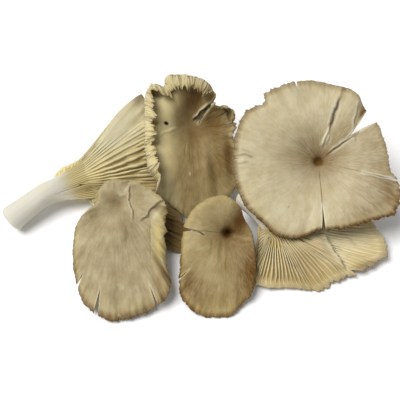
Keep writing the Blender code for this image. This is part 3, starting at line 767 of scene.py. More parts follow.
def mushroom_mesh(cap, settings):
    """The whole mushroom as one closed mesh in metres, with the marks that the gills and materials read."""
    outline = Outline(cap)
    groups = settings.gill_groups
    columns = margin_columns(cap, outline, groups)
    count = len(columns)
    low = np.array(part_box(cap.node)[0]) / MM
    crown = low + np.array(cap.crown)
    axes = np.array(Euler((np.radians(cap.tilt), 0, 0)).to_matrix())
    side = -1.0 if cap.gills_up else 1.0
    nominal = np.array([column.phase for column in columns])

    # The skin, from the crown to the margin.
    skin_n, gill_n = ROWS[cap.gills_up]
    rim_n = len(RIM_STEPS)
    shares = np.linspace(0, 1, skin_n + 1)[1:] ** SKIN_SPREAD
    angles = np.tile(row_angles(outline, columns, groups, 1.0, 0.0), (skin_n, 1))
    torn = np.array([1e9 if column.reach is None else column.reach for column in columns])
    limit = np.minimum(outline.radius(angles[0]), torn)
    skin_reach = shares[:, None] * limit[None, :]
    skin_local = skin_surface(cap, outline, skin_reach, angles)

    # The gill side, back from the margin to the neck.
    gill_shares = 1 - (1 - NECK_SHARE) * np.linspace(0, 1, gill_n) ** GILL_SPREAD
    gill_angles = np.empty((gill_n, count))
    for i, share in enumerate(gill_shares):
        blade = float(smooth(np.array((1 - share) / BLADE_START)))
        gill_angles[i] = row_angles(outline, columns, groups, share, blade)
    centres = np.array([column.centre for column in columns]) / groups
    room = np.clip((outline.angle(centres + 0.01) - outline.angle(centres - 0.01)) / 4.0, 0, 1)
    sway = room * ring_noise(centres, [4, 6, 9], cap.seed + 4)
    fixed = np.array([column.angle is not None for column in columns])
    sway = np.where(fixed, 0, sway) * (0 if len(cap.tears) > 4 else 1)
    gill_angles += settings.gill_sway * sway * np.sin(np.pi * gill_shares)[:, None]
    gill_reach = gill_shares[:, None] * limit[None, :]
    under_skin = skin_surface(cap, outline, gill_reach, gill_angles)
    even_skin = skin_surface(cap, outline, gill_reach, angles[:1].repeat(gill_n, 0), fine=False)
    into = grid_normals(even_skin, cap.gills_up)
    for i, (one, other) in enumerate(zip(columns[:-1], columns[1:])):
        # The foot and the top of a blade's wall point the same way, so that they never cross.
        if one.sign and (one.centre, one.sign) == (other.centre, other.sign):
            both = into[:, i] + into[:, i + 1]
            both /= np.linalg.norm(both, axis=-1, keepdims=True)
            into[:, i] = into[:, i + 1] = both
    reach_share = gill_reach / round_curve(cap.outline, gill_angles)
    core, edge = cap.flesh
    thick = edge + (core - edge) * np.maximum(1 - reach_share, 0) ** FLESH_FALL
    gill_local = under_skin + thick[..., None] * into

    # The rounded margin between them.
    outward = skin_local[-1] - skin_local[-3]
    outward /= np.maximum(np.linalg.norm(outward, axis=-1, keepdims=True), 1e-9)
    rim_local = np.array([
        skin_local[-1] * (1 - u) + gill_local[0] * u + RIM_BULGE * thick[0][:, None] * np.sin(np.pi * u) * outward
        for u in RIM_STEPS
    ])

    def placed(local):
        return crown + local @ axes.T

    # The stem.
    start = crown + axes[:, 2] * (-side) * (core + 1.0)
    bend = crown + np.array(cap.stem_bend)
    end = crown + np.array(cap.stem_end)
    neck = placed(gill_local[-1])
    neck_angle = gill_angles[-1]
    even_angle = 360 * np.arange(count) / count
    even_angle = even_angle + np.mean(neck_angle - even_angle)
    stem_rows, stem_steps, stem_outward = [], [], []
    for t, centre, across, up in turned_rings(cap, axes, start, bend, end):
        wide, narrow = cap.stem_radii
        radius = wide + (narrow - wide) * t - cap.waist * np.sin(np.pi * t)
        even = smooth(np.array(t / 0.6))
        a = np.radians(neck_angle * (1 - even) + even_angle * even)
        ring = np.cos(a)[:, None] * across + np.sin(a)[:, None] * up
        rough = 1
        for height, round_it, along_it, step in STEM_LUMPS:
            spots = np.stack([np.cos(a) * round_it, np.sin(a) * round_it, 0 * a + along_it * t], -1)
            rough = rough + height * lumps(spots, 1.0, cap.seed + step)
        round_ring = centre + radius * rough[:, None] * ring
        blend = smooth(np.array(t / NECK_BLEND))
        stem_rows.append((neck + centre - start) * (1 - blend) + round_ring * blend)
        stem_steps.append(t)
        outward = (into[-1] @ axes.T) * (1 - blend) + ring * blend
        stem_outward.append(outward / np.linalg.norm(outward, axis=-1, keepdims=True))
    tip_run = end - bend
    tip_run /= np.linalg.norm(tip_run)
    last = stem_rows[-1]
    middle = last.mean(axis=0)
    for shrink, out in STEM_TIP:
        stem_rows.append(middle + (last - middle) * shrink + tip_run * out)
        stem_steps.append(1.0)
        stem_outward.append(stem_outward[-1])
    stem_rows = np.array(stem_rows)

    rows = np.concatenate([placed(skin_local), placed(rim_local), placed(gill_local), stem_rows])
    top = crown + axes @ np.array([0, 0, float(skin_local[0, :, 2].mean())])
    tip = middle + tip_run * STEM_TIP_END
    rows[..., 2] = pressed(rows[..., 2])
    places = np.vstack([rows.reshape(-1, 3), top, tip]) * MM

    # Faces.
    total = len(rows)
    grid = np.arange(total * count).reshape(total, count)
    beside = np.roll(grid, -1, axis=1)
    quads = np.stack([grid[:-1], grid[1:], beside[1:], beside[:-1]], -1).reshape(-1, 4)
    top_fan = np.stack([np.full(count, total * count), grid[0], beside[0]], -1)
    tip_fan = np.stack([np.full(count, total * count + 1), beside[-1], grid[-1]], -1)
    if cap.gills_up:
        quads, top_fan, tip_fan = quads[:, ::-1], top_fan[:, ::-1], tip_fan[:, ::-1]
    mesh = bpy.data.meshes.new(cap.node + "_body")
    mesh.from_pydata(places.tolist(), [], quads.tolist() + top_fan.tolist() + tip_fan.tolist())

    # Marks for the gills and the materials.
    stem_n = len(stem_rows)
    on_stem = np.array(stem_steps)
    all_share = np.concatenate([
        skin_reach / round_curve(cap.outline, angles),
        np.ones((rim_n, count)), reach_share, np.full((stem_n, count), NECK_SHARE),
    ])
    all_angle = np.concatenate([
        angles, np.tile(angles[0], (rim_n, 1)), gill_angles, np.tile(neck_angle, (stem_n, 1)),
    ])
    under = np.concatenate([
        np.zeros((skin_n, count)), np.repeat(np.array(RIM_UNDERSIDE)[:, None], count, axis=1),
        np.ones((gill_n + stem_n, count)),
    ])
    stem_mark = np.concatenate([np.zeros((total - stem_n, count)), np.tile(on_stem[:, None], (1, count))])
    lifted = np.concatenate([np.zeros((skin_n + rim_n, count, 3)), into @ axes.T, np.array(stem_outward)])
    depth = settings.gill_depth / MM
    gill_rise = np.zeros((total, count))
    on_cap = skin_n + rim_n + gill_n
    gill_rows = slice(skin_n + rim_n, on_cap)
    gill_rise[gill_rows] = gill_height(cap, reach_share, depth) * np.minimum(1, 0.35 + thick / core)
    faded = np.zeros((total, count))
    for *where, lost in cap.gill_fade:
        fade = lost * oval(gill_local[..., 0], gill_local[..., 1], *where)
        gill_rise[gill_rows] *= 1 - np.clip(fade, -2, 1)
        faded[gill_rows] = np.maximum(faded[gill_rows], np.clip(fade, 0, 1))
    uneven = lumps(gill_local[..., :2], 5.0, cap.seed + 20)
    gill_rise[gill_rows] *= 1 + cap.gill_uneven * uneven
    gill_rise[on_cap:] = gill_rise[on_cap - 1] * (1 - smooth(on_stem / settings.gill_run))[:, None]
    gill_rise *= np.where(fixed, 0.0, 1.0)[None, :]
    drop = np.maximum(-lifted[..., 2] * gill_rise, 1e-6)
    gill_rise *= np.clip((rows[..., 2] - FLOOR_GAP) / drop, 0, 1)
    local = np.concatenate([skin_local, rim_local, gill_local])
    tones = tone_marks(cap, local[..., 0], local[..., 1], all_share[:on_cap], all_angle[:on_cap], under[:on_cap])
    # Painted shade: the skin is browned where it lies lower than the skin round it, as in a hollow.
    hollows = np.zeros((on_cap, count))
    height = skin_local[..., 2].copy()
    flat = int(np.sum(shares < cap.curl_from))
    height[flat:] = height[flat - 1]
    hollows[:skin_n] = blurred(height, 7, 14) - height
    tones["hollow"] = np.clip(cap.hollow_shade * hollows, 0, 1)
    fading = (1 - smooth(on_stem / 0.45))[:, None]
    tones = {k: np.concatenate([v, v[-1] * fading]) for k, v in tones.items()}
    a = np.radians(all_angle)
    streak = np.stack([np.cos(a), np.sin(a), all_share * 0.5 - stem_mark * 0.6], -1)

    def store(name, values, end_values, kind="FLOAT"):
        attribute = mesh.attributes.new(name, kind, "POINT")
        flat = np.concatenate([values.ravel(), np.ravel(end_values)]).astype(np.float32)
        attribute.data.foreach_set("vector" if kind == "FLOAT_VECTOR" else "value", flat)

    store("cap_share", all_share, (0.0, 0.0))
    store("underside", under, (0.0, 1.0))
    store("stem_share", stem_mark, (0.0, 1.0))
    store("faded", faded, (0.0, 0.0))
    store("gill_phase", np.tile(nominal, (total, 1)), (0.0, 0.0))
    for name, values in tones.items():
        store(name, values, (float(values[0].mean()), 0.0))
    store("streak", streak, [(0, 0, 0), (0, 0, -0.6)], "FLOAT_VECTOR")
    store("gill_rise", lifted * (gill_rise * MM)[..., None], np.zeros(6), "FLOAT_VECTOR")
    mesh.shade_smooth()
    return mesh


def tone_marks(cap, x, y, share, angle, under):
    """How brown, yellow, pale or dark the flesh is at each place, from 0 to 1. Brown and dark also carry painted
    shade.
    """
    marks = {name: np.zeros_like(share) for name in ("brown", "yellow", "pale", "dark")}

    def lay(name, amount):
        marks[name] = 1 - (1 - marks[name]) * (1 - np.clip(amount, 0, 1))

    for name, *where, strength in cap.spots:
        spot = oval(x, y, *where)
        # The hole is not cut through the mesh: it is painted dark, as the shade seen through it.
        if name == "hole":
            marks["dark"] = np.maximum(marks["dark"], smooth(2.2 * spot - 0.6))
        else:
            lay(name, strength * spot)
    lay("brown", smooth((share - 0.92) / 0.06) * round_curve(cap.margin_brown, angle))
    line = smooth((share - 0.978) / 0.02) * round_curve(cap.margin_brown, angle)
    marks["dark"] = np.maximum(marks["dark"], np.clip(0.55 * line * (1 - 0.6 * under), 0, 1))
    lay("yellow", smooth((share - 0.80) / 0.18) * round_curve(cap.margin_yellow, angle))
    for places, width, _, _, _, pale, dark in cap.creases:
        across, ends = crease_distance(x, y, places)
        lip_width = 0.25 + 0.6 * width
        left = np.exp(-(((across - width - 0.3) / lip_width) ** 2))
        right = np.exp(-(((across + width + 0.4) / lip_width) ** 2))
        marks["pale"] = np.maximum(marks["pale"], pale * ends * (left + 0.6 * right))
        # Painted shade along the crease line, leaning to its right side.
        shade = dark * ends * np.exp(-(((across + 0.2) / (0.25 + 0.4 * width)) ** 2))
        marks["dark"] = np.maximum(marks["dark"], shade)
    for at, start, width, _, _ in cap.tears:
        off = np.abs(off_angle(angle, at))
        reach = np.hypot(x, y)
        gap = np.maximum(np.radians(off) * reach - 0.5 * width * np.clip((reach - start) / 20, 0, 1), 0)
        lip = np.exp(-((gap / 0.55) ** 2)) * smooth((reach - start + 1) / 2)
        marks["pale"] = np.maximum(marks["pale"], 0.8 * lip * (share < 0.97))
    return marks


# ---------------------------------------------------------------------------------------------
# Gills
# ---------------------------------------------------------------------------------------------


def made(tree, kind, inputs=(), **options):
    """A new node with its options set. Inputs go by name or number, and take a socket or a plain value."""
    node = tree.nodes.new(kind)
    for option, value in options.items():
        setattr(node, option, value)
    for key, value in dict(inputs).items():
        if isinstance(value, bpy.types.NodeSocket):
            tree.links.new(value, node.inputs[key])
        else:
            node.inputs[key].default_value = value
    return node


def calculated(tree, operation, *values, clamp=False):
    """One sum on values. Each is a socket or a plain number."""
    return made(tree, "ShaderNodeMath", enumerate(values), operation=operation, use_clamp=clamp).outputs[0]


def ranged(tree, value, low, high, to_low=0.0, to_high=1.0):
    """A value moved from one range to another, and kept inside it."""
    inputs = {"Value": value, "From Min": low, "From Max": high, "To Min": to_low, "To Max": to_high}
    return made(tree, "ShaderNodeMapRange", inputs, interpolation_type="SMOOTHSTEP").outputs["Result"]


def gill_tree():
    """Geometry nodes that raise the gills: long ones, and shorter ones that start further out."""
    tree = bpy.data.node_groups.new("Raise Gills", "GeometryNodeTree")
    for name, kind, value in (
        ("Geometry", "Geometry", None), ("Short Gill Start", "Float", 0.38), ("Shortest Gill Start", "Float", 0.62),
        ("Start Spread", "Float", 0.16), ("Height", "Float", 1.0), ("Seed", "Int", 1), ("Material", "Material", None),
    ):
        socket = tree.interface.new_socket(name, in_out="INPUT", socket_type="NodeSocket" + kind)
        if value is not None:
            socket.default_value = value
    tree.interface.new_socket("Geometry", in_out="OUTPUT", socket_type="NodeSocketGeometry")
    given = tree.nodes.new("NodeGroupInput").outputs
    maths = functools.partial(calculated, tree)

    def mark(name, kind="FLOAT"):
        return made(tree, "GeometryNodeInputNamedAttribute", {"Name": name}, data_type=kind).outputs["Attribute"]

    quarter = maths("MULTIPLY", mark("gill_phase"), 4.0)
    gill = maths("FLOOR", maths("ADD", quarter, 0.5))
    inside = maths("LESS_THAN", maths("ABSOLUTE", maths("SUBTRACT", quarter, gill)), 0.25)
    rank = maths("FLOORED_MODULO", gill, 4.0)
    short = maths("COMPARE", rank, 2.0, 0.1)
    shortest = maths("COMPARE", maths("FLOORED_MODULO", gill, 2.0), 1.0, 0.1)
    chance = made(tree, "FunctionNodeRandomValue", {"ID": gill, "Seed": given["Seed"]}, data_type="FLOAT")
    spread = maths("MULTIPLY", maths("SUBTRACT", chance.outputs[1], 0.5), given["Start Spread"])
    starts = maths(
        "ADD",
        maths("MULTIPLY", short, given["Short Gill Start"]),
        maths("MULTIPLY", shortest, given["Shortest Gill Start"]),
    )
    starts = maths("ADD", starts, maths("MULTIPLY", spread, maths("MAXIMUM", short, shortest)))
    begun = ranged(tree, mark("cap_share"), starts, maths("ADD", starts, 0.09))
    there = maths("MAXIMUM", begun, maths("LESS_THAN", rank, 0.5))
    height = maths("MULTIPLY", maths("MULTIPLY", there, inside), given["Height"])
    full_rise = mark("gill_rise", "FLOAT_VECTOR")
    rise = made(tree, "ShaderNodeVectorMath", {0: full_rise, "Scale": height}, operation="SCALE")
    move = made(tree, "GeometryNodeSetPosition", {"Geometry": given["Geometry"], "Offset": rise.outputs[0]})
    keep = made(
        tree, "GeometryNodeStoreNamedAttribute",
        {"Geometry": move.outputs["Geometry"], "Name": "blade", "Value": height},
        data_type="FLOAT", domain="POINT",
    )
    real = made(tree, "GeometryNodeRealizeInstances", {"Geometry": keep.outputs["Geometry"]})
    painted = {"Geometry": real.outputs["Geometry"], "Material": given["Material"]}
    finish = made(tree, "GeometryNodeSetMaterial", painted)
    made(tree, "NodeGroupOutput", {"Geometry": finish.outputs["Geometry"]})
    return tree


def socket_id(tree, name):
    """The identifier of a tree's input, by its name."""
    for item in tree.interface.items_tree:
        if item.item_type == "SOCKET" and item.in_out == "INPUT" and item.name == name:
            return item.identifier
    raise ValueError(f"the tree has no input named {name}")


# ---------------------------------------------------------------------------------------------
# Materials
# ---------------------------------------------------------------------------------------------


def tone(red, green, blue):
    """A linear colour from display values between 0 and 255."""
    values = np.array([red, green, blue]) / 255
    linear = np.where(values <= 0.04045, values / 12.92, ((values + 0.055) / 1.055) ** 2.4)
    return tuple(round(float(v), 4) for v in linear)


def shader_group(name, inputs, outputs):
    """A shader node group with sockets named by kind, and its inputs."""
    tree = bpy.data.node_groups.new(name, "ShaderNodeTree")
    for side, sockets in (("INPUT", inputs), ("OUTPUT", outputs)):
        for kind, labels in sockets.items():
            for label in labels:
                tree.interface.new_socket(label, in_out=side, socket_type="NodeSocket" + kind)
    return tree, tree.nodes.new("NodeGroupInput").outputs


def noise_node(tree, vector, scale, detail, roughness, stretch=None):
    """A noise texture's output, on a vector that may first be stretched."""
    if stretch is not None:
        vector = made(tree, "ShaderNodeMapping", {"Vector": vector, "Scale": stretch}).outputs["Vector"]
    inputs = {"Vector": vector, "Scale": scale, "Detail": detail, "Roughness": roughness}
    return made(tree, "ShaderNodeTexNoise", inputs).outputs["Fac"]


def mixed(tree, factor, first, second):
    """Two colours mixed. Each input is a socket or a plain value."""
    return made(tree, "ShaderNodeMix", {0: factor, 6: first, 7: second}, data_type="RGBA").outputs[2]


def clamped(tree, operation):
    """A function that works out this sum on two values, and keeps the result between 0 and 1."""
    return functools.partial(calculated, tree, operation, clamp=True)


def fibre_group():
    """Fibres that run from the crown to the margin and down the stem, and the soft mottling over them."""
    outputs = ("Fibres", "Broad Fibres", "Mottle", "Relief")
    tree, given = shader_group("Radial Fibres", {"Vector": ("Streak", "Place")}, {"Float": outputs})
    times, plus = clamped(tree, "MULTIPLY"), clamped(tree, "ADD")
    fine = noise_node(tree, given["Streak"], 30, 4, 0.65, (1, 1, 0.6))
    broad = noise_node(tree, given["Streak"], 7, 3, 0.55, (1, 1, 0.8))
    mottle = noise_node(tree, given["Place"], 120, 5, 0.62)
    grain = noise_node(tree, given["Place"], 900, 3, 0.6)
    relief = plus(plus(times(fine, 0.55), times(grain, 0.25)), times(mottle, 0.2))
    made(tree, "NodeGroupOutput", zip(outputs, (fine, broad, mottle, relief)))
    return tree


def flesh_group():
    """The skin's colour: light and dusky fibres, browned and yellowed places, pale torn flesh, and painted shade in
    hollows, creases and shaded places.
    """
    tree, given = shader_group(
        "Skin Tone",
        {
            "Color": ("Light Skin", "Dusky Skin", "Brown", "Yellow", "Pale"),
            "Float": (
                "Fibres", "Broad Fibres", "Mottle", "Browning And Shade", "Yellowing", "Paleness", "Darkness And Shade", "Hollow Shade",
            ),
        },
        {"Color": ("Colour",)},
    )
    times, plus = clamped(tree, "MULTIPLY"), clamped(tree, "ADD")
    streaks = plus(times(given["Fibres"], 0.4), times(given["Broad Fibres"], 0.15))
    streaks = plus(streaks, times(given["Mottle"], 0.65))
    base = mixed(tree, ranged(tree, streaks, 0.42, 0.80), given["Light Skin"], given["Dusky Skin"])
    base = mixed(tree, times(given["Yellowing"], 0.85), base, given["Yellow"])
    brown = times(given["Browning And Shade"], ranged(tree, given["Fibres"], 0.3, 0.7, 0.7, 1.15))
    # Browning holds the flesh's own browning and painted shade; the hollow mark adds painted shade in the hollows.
    base = mixed(tree, plus(brown, times(given["Hollow Shade"], 0.6)), base, given["Brown"])
    base = mixed(tree, times(given["Paleness"], 0.8), base, given["Pale"])
    # Darkness: painted shade in creases, folds, throats and the hole, and the thin dark margin line.
    base = mixed(tree, given["Darkness And Shade"], base, DARK_SKIN_AND_SHADE)
    made(tree, "NodeGroupOutput", {"Colour": base})
    return tree


def gill_group():
    """The gill side and stem's colour: pale blade edges, painted shade in the grooves between them, a white stem with
    a cream neck.
    """
    tree, given = shader_group(
        "Gill Tone",
        {
            "Color": ("Gill Edge", "Gill Groove Shade", "Stem", "Brown", "Pale", "Yellow"),
            "Float": (
                "Blade", "Faded", "Stem Share", "Cap Share", "Fibres", "Mottle", "Browning And Shade", "Yellowing",
                "Paleness", "Darkness And Shade",
            ),
        },
        {"Color": ("Colour",)},
    )
    times, plus = clamped(tree, "MULTIPLY"), clamped(tree, "ADD")
    margin = ranged(tree, given["Cap Share"], 0.9, 1.0)
    raised = calculated(tree, "MAXIMUM", calculated(tree, "MAXIMUM", given["Blade"], margin), given["Faded"])
    # Between the raised blades the darker groove colour is painted shade; blade tops, the smooth margin band and
    # faded gills take the edge colour.
    flesh = mixed(tree, raised, given["Gill Groove Shade"], given["Gill Edge"])
    flesh = mixed(tree, ranged(tree, given["Fibres"], 0.35, 0.75, 0.0, 0.45), flesh, given["Gill Groove Shade"])
    marks = (("Yellowing", 0.7, "Yellow"), ("Browning And Shade", 0.9, "Brown"), ("Paleness", 0.8, "Pale"))
    for mark, strength, shade in marks:
        flesh = mixed(tree, times(given[mark], strength), flesh, given[shade])
    stem = mixed(tree, ranged(tree, given["Mottle"], 0.45, 0.75, 0.0, 0.35), given["Stem"], given["Gill Edge"])
    ragged_end = plus(given["Stem Share"], times(given["Fibres"], 0.3))
    flesh = mixed(tree, ranged(tree, ragged_end, 0.34, 0.5), flesh, stem)
    # Darkness: painted shade, as on the skin.
    flesh = mixed(tree, given["Darkness And Shade"], flesh, DARK_GILLS_AND_SHADE)
    made(tree, "NodeGroupOutput", {"Colour": flesh})
    return tree


def group_node(tree, name, maker, values):
    """A node group, made the first time it is asked for, with each of its inputs taken from the values."""
    group = bpy.data.node_groups.get(name) or maker()
    labels = [item.name for item in group.interface.items_tree if item.in_out == "INPUT"]
    return made(tree, "ShaderNodeGroup", {label: values[label] for label in labels}, node_tree=group)


def mark_node(tree, name, output="Fac"):
    """A mark stored on the mesh, read in a material."""
    return made(tree, "ShaderNodeAttribute", attribute_name=name).outputs[output]


def mushroom_material(name, settings):
    """Skin above and gills below, with fibres, browned margins and a soft, slightly translucent flesh."""
    material = bpy.data.materials.new(name)
    material.use_nodes = True
    tree = material.node_tree
    tree.nodes.clear()
    place = tree.nodes.new("ShaderNodeTexCoord").outputs["Object"]
    values = {"Streak": mark_node(tree, "streak", "Vector"), "Place": place}
    fibres = group_node(tree, "Radial Fibres", fibre_group, values).outputs
    values |= {label: mark_node(tree, mark) for label, mark in MARKS.items()}
    values |= {socket.name: socket for socket in fibres}
    values |= {label: (*getattr(settings, key), 1.0) for key, label, _ in SHADES}
    skin = group_node(tree, "Skin Tone", flesh_group, values).outputs["Colour"]
    gills = group_node(tree, "Gill Tone", gill_group, values).outputs["Colour"]
    bump = made(tree, "ShaderNodeBump", {"Strength": 0.5, "Distance": 0.0004, "Height": fibres["Relief"]})
    shader = made(tree, "ShaderNodeBsdfPrincipled", {
        "Base Color": mixed(tree, mark_node(tree, "underside"), skin, gills),
        "Roughness": ranged(tree, fibres["Mottle"], 0.2, 0.8, 0.5, 0.72),
        "Normal": bump.outputs["Normal"],
        "Specular IOR Level": 0.16,
        "Subsurface Weight": 0.25,
        "Subsurface Radius": (1.0, 0.62, 0.32),
        "Subsurface Scale": 0.0016,
    })
    made(tree, "ShaderNodeOutputMaterial", {"Surface": shader.outputs["BSDF"]})
    return material


# ---------------------------------------------------------------------------------------------
# Settings
# ---------------------------------------------------------------------------------------------


def colour_setting(name, description, default):
    return FloatVectorProperty(
        name=name, description=description, default=default, subtype="COLOR", size=3, min=0, max=1
    )


def mushroom_settings(shades, gill_groups, gill_depth, gill_run, gill_sway):
    """What can be set on one mushroom: its shades, in the order of SHADES, and its gills."""
    settings = {
        key: colour_setting(label, description, tone(*shade))
        for (key, label, description), shade in zip(SHADES, shades)
    }
    settings["gill_groups"] = IntProperty(
        name="Gill Groups", description="Groups of one long, one short and two shortest gills",
        default=gill_groups, min=12, max=90,
    )
    settings["gill_depth"] = FloatProperty(
        name="Gill Depth", description="How far the gills stand out of the flesh",
        default=gill_depth, min=0, max=0.006, unit="LENGTH",
    )
    settings["gill_run"] = FloatProperty(
        name="Gill Run", description="How far the gills run down the stem, as a share of it",
        default=gill_run, min=0.05, max=1, subtype="FACTOR",
    )
    settings["gill_sway"] = FloatProperty(
        name="Gill Sway", description="How far the gills wander sideways, in degrees",
        default=gill_sway, min=0, max=6,
    )
    return settings


class LargeMushroomSettings(bpy.types.PropertyGroup):
    __annotations__ = mushroom_settings(
        (
            (200, 189, 157), (180, 166, 129), (104, 74, 28), (186, 168, 110), (226, 217, 190),
            (214, 204, 172), (176, 158, 114), (218, 210, 190),
        ),
        gill_groups=47, gill_depth=0.0018, gill_run=0.5, gill_sway=0.0,
    )


class UpturnedMushroomSettings(bpy.types.PropertyGroup):
    __annotations__ = mushroom_settings(
        (
            (196, 184, 150), (176, 160, 120), (120, 94, 56), (198, 182, 132), (222, 214, 186),
            (218, 206, 168), (178, 156, 100), (214, 206, 190),
        ),
        gill_groups=40, gill_depth=0.0027, gill_run=0.35, gill_sway=1.0,
    )


class RuffledMushroomSettings(bpy.types.PropertyGroup):
    __annotations__ = mushroom_settings(
        (
            (161, 144, 102), (134, 114, 72), (98, 70, 28), (214, 200, 148), (214, 202, 164),
            (206, 194, 158), (160, 138, 92), (214, 206, 186),
        ),
        gill_groups=48, gill_depth=0.0016, gill_run=0.45, gill_sway=1.0,
    )


class LongStemMushroomSettings(bpy.types.PropertyGroup):
    __annotations__ = mushroom_settings(
        (
            (190, 176, 140), (168, 150, 108), (112, 83, 38), (228, 212, 156), (220, 217, 198),
            (212, 204, 166), (188, 168, 104), (210, 206, 192),
        ),
        gill_groups=28, gill_depth=0.0017, gill_run=0.38, gill_sway=1.0,
    )


class SplitCapMushroomSettings(bpy.types.PropertyGroup):
    __annotations__ = mushroom_settings(
        (
            (181, 168, 133), (150, 134, 98), (116, 92, 56), (204, 186, 122), (214, 202, 168),
            (210, 198, 160), (168, 148, 100), (218, 210, 190),
        ),
        gill_groups=46, gill_depth=0.0016, gill_run=0.45, gill_sway=0.0,
    )


class SmallMushroomSettings(bpy.types.PropertyGroup):
    __annotations__ = mushroom_settings(
        (
            (173, 157, 115), (148, 129, 83), (100, 68, 24), (190, 170, 108), (206, 190, 150),
            (204, 190, 150), (160, 138, 92), (214, 206, 186),
        ),
        gill_groups=36, gill_depth=0.0014, gill_run=0.45, gill_sway=1.0,
    )


class StageSettings(bpy.types.PropertyGroup):
    floor_colour: colour_setting("Floor", "The pale surface", (0.93, 0.93, 0.93))
    sky: FloatProperty(name="Soft Light", description="Light from all round", default=0.38, min=0, max=4)
    sun: FloatProperty(
        name="Main Light", description="Strength of the large soft light", default=2.95, min=0, max=20,
    )
    sun_size: FloatProperty(
        name="Main Light Size", description="Angle that the main light fills",
        default=0.62, min=0, max=3, subtype="ANGLE",
    )
    lens: FloatProperty(name="Lens", description="Focal length", default=100, min=20, max=300, unit="CAMERA")


# ---------------------------------------------------------------------------------------------
# Operators
# ---------------------------------------------------------------------------------------------


def build_mushroom(cap, settings):
    """Makes one mushroom: its mesh, its raised gills and its material, in place of its plain solid."""
    material = mushroom_material(cap.node + "_flesh", settings)
    piece = bpy.data.objects.new(cap.node + "_flesh", mushroom_mesh(cap, settings))
    bpy.context.scene.collection.objects.link(piece)
    piece.data.materials.append(material)
    tree = bpy.data.node_groups.get("Raise Gills") or gill_tree()
    modifier = piece.modifiers.new("gills", "NODES")
    modifier.node_group = tree
    short, shortest = cap.gill_starts
    inputs = {"Seed": cap.seed, "Short Gill Start": short, "Shortest Gill Start": shortest, "Material": material}
    for name, value in inputs.items():
        modifier[socket_id(tree, name)] = value
    graph = bpy.context.evaluated_depsgraph_get()
    done = bpy.data.meshes.new_from_object(piece.evaluated_get(graph))
    piece.modifiers.remove(modifier)
    piece.data = done
    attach(piece, "root")
    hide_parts(cap.node)
    return piece


class MUSHROOM_OT_large(bpy.types.Operator):
    """Build the large round cap with its radial tears"""

    bl_idname = "mushroom.large"
    bl_label = "Large Mushroom"

    def execute(self, context):
        build_mushroom(LARGE, context.scene.large_mushroom)
        return {"FINISHED"}


class MUSHROOM_OT_upturned(bpy.types.Operator):
    """Build the mushroom that lies gill side up under the large one"""

    bl_idname = "mushroom.upturned"
    bl_label = "Upturned Mushroom"

    def execute(self, context):
        build_mushroom(UPTURNED, context.scene.upturned_mushroom)
        return {"FINISHED"}


class MUSHROOM_OT_ruffled(bpy.types.Operator):
    """Build the funnel-shaped cap with the ruffled margin"""

    bl_idname = "mushroom.ruffled"
    bl_label = "Ruffled Mushroom"

    def execute(self, context):
        build_mushroom(RUFFLED, context.scene.ruffled_mushroom)
        return {"FINISHED"}


class MUSHROOM_OT_long_stem(bpy.types.Operator):
    """Build the fan with its gill side showing and its long stem"""

    bl_idname = "mushroom.long_stem"
    bl_label = "Long Stem Mushroom"

    def execute(self, context):
        build_mushroom(LONG_STEM, context.scene.long_stem_mushroom)
        return {"FINISHED"}


class MUSHROOM_OT_split_cap(bpy.types.Operator):
    """Build the oval cap with the split, yellowed margin"""

    bl_idname = "mushroom.split_cap"
    bl_label = "Split Cap Mushroom"

    def execute(self, context):
        build_mushroom(SPLIT_CAP, context.scene.split_cap_mushroom)
        return {"FINISHED"}


class MUSHROOM_OT_small(bpy.types.Operator):
    """Build the small oval cap with the dark funnel"""

    bl_idname = "mushroom.small"
    bl_label = "Small Mushroom"

    def execute(self, context):
        build_mushroom(SMALL, context.scene.small_mushroom)
        return {"FINISHED"}


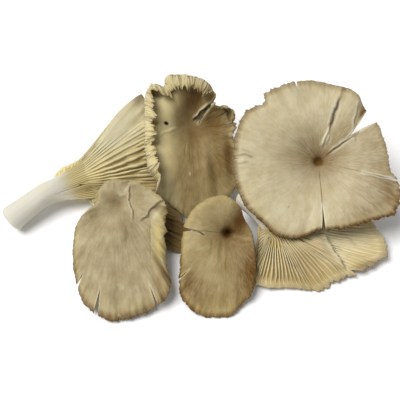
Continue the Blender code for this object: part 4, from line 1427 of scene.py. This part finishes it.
class MUSHROOM_OT_stage(bpy.types.Operator):
    """Lay the pale floor and set the soft light and the camera"""

    bl_idname = "mushroom.stage"
    bl_label = "Stage"

    def execute(self, context):
        settings = context.scene.mushroom_stage
        scene = context.scene
        bpy.ops.mesh.primitive_plane_add(size=6, location=(0, 0, CAD_BOX[0][2]))
        floor = context.object
        floor.name = "floor"
        floor.data.transform(floor.matrix_world)
        floor.matrix_world.identity()
        paint = bpy.data.materials.new("pale_floor")
        paint.use_nodes = True
        shader = paint.node_tree.nodes["Principled BSDF"]
        shader.inputs["Base Color"].default_value = (*settings.floor_colour, 1)
        shader.inputs["Roughness"].default_value = 0.9
        shader.inputs["Specular IOR Level"].default_value = 0.0
        floor.data.materials.append(paint)

        world = bpy.data.worlds.new("studio")
        world.use_nodes = True
        background = world.node_tree.nodes["Background"]
        background.inputs["Color"].default_value = (1, 1, 1, 1)
        background.inputs["Strength"].default_value = settings.sky
        scene.world = world

        light = bpy.data.lights.new("main_light", "SUN")
        light.energy = settings.sun
        light.angle = settings.sun_size
        main = bpy.data.objects.new("main_light", light)
        main.rotation_euler = Vector(SUN_DIRECTION).to_track_quat("-Z", "Y").to_euler()
        scene.collection.objects.link(main)

        camera = bpy.data.cameras.new("camera")
        camera.lens = settings.lens
        camera.sensor_width = CAMERA_SENSOR
        camera.clip_start = 0.01
        camera.clip_end = 20
        eye = bpy.data.objects.new("camera", camera)
        middle = (CAD_BOX[0][0] + CAD_BOX[1][0]) / 2
        aim = Vector((middle + CAMERA_OFFSET, *CAMERA_AIM))
        distance = CAMERA_ACROSS * settings.lens / CAMERA_SENSOR
        eye.location = aim + distance * Vector(CAMERA_SIDE)
        eye.rotation_euler = (np.radians(CAMERA_LEAN), 0, 0)
        scene.collection.objects.link(eye)
        scene.camera = eye
        scene.view_settings.view_transform = "Standard"
        return {"FINISHED"}


class MUSHROOM_PT_panel(bpy.types.Panel):
    """The sidebar panel that lists the pieces"""

    bl_idname = "MUSHROOM_PT_panel"
    bl_label = "Oyster Mushrooms"
    bl_space_type = "VIEW_3D"
    bl_region_type = "UI"
    bl_category = "Mushrooms"

    def draw(self, context):
        for operator in OPERATORS:
            self.layout.operator(operator.bl_idname, text=operator.bl_label)


SETTINGS = {
    "large_mushroom": LargeMushroomSettings,
    "upturned_mushroom": UpturnedMushroomSettings,
    "ruffled_mushroom": RuffledMushroomSettings,
    "long_stem_mushroom": LongStemMushroomSettings,
    "split_cap_mushroom": SplitCapMushroomSettings,
    "small_mushroom": SmallMushroomSettings,
    "mushroom_stage": StageSettings,
}
OPERATORS = (
    MUSHROOM_OT_large,
    MUSHROOM_OT_upturned,
    MUSHROOM_OT_ruffled,
    MUSHROOM_OT_long_stem,
    MUSHROOM_OT_split_cap,
    MUSHROOM_OT_small,
    MUSHROOM_OT_stage,
)


def register():
    for group in SETTINGS.values():
        bpy.utils.register_class(group)
    for operator in OPERATORS:
        bpy.utils.register_class(operator)
    bpy.utils.register_class(MUSHROOM_PT_panel)
    for name, group in SETTINGS.items():
        setattr(bpy.types.Scene, name, PointerProperty(type=group))


def unregister():
    for name in SETTINGS:
        delattr(bpy.types.Scene, name)
    bpy.utils.unregister_class(MUSHROOM_PT_panel)
    for operator in reversed(OPERATORS):
        bpy.utils.unregister_class(operator)
    for group in reversed(list(SETTINGS.values())):
        bpy.utils.unregister_class(group)


def main():
    register()
    bpy.ops.mushroom.large()
    bpy.ops.mushroom.upturned()
    bpy.ops.mushroom.ruffled()
    bpy.ops.mushroom.long_stem()
    bpy.ops.mushroom.split_cap()
    bpy.ops.mushroom.small()
    bpy.ops.mushroom.stage()
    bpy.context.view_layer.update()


if __name__ == "__main__":
    main()
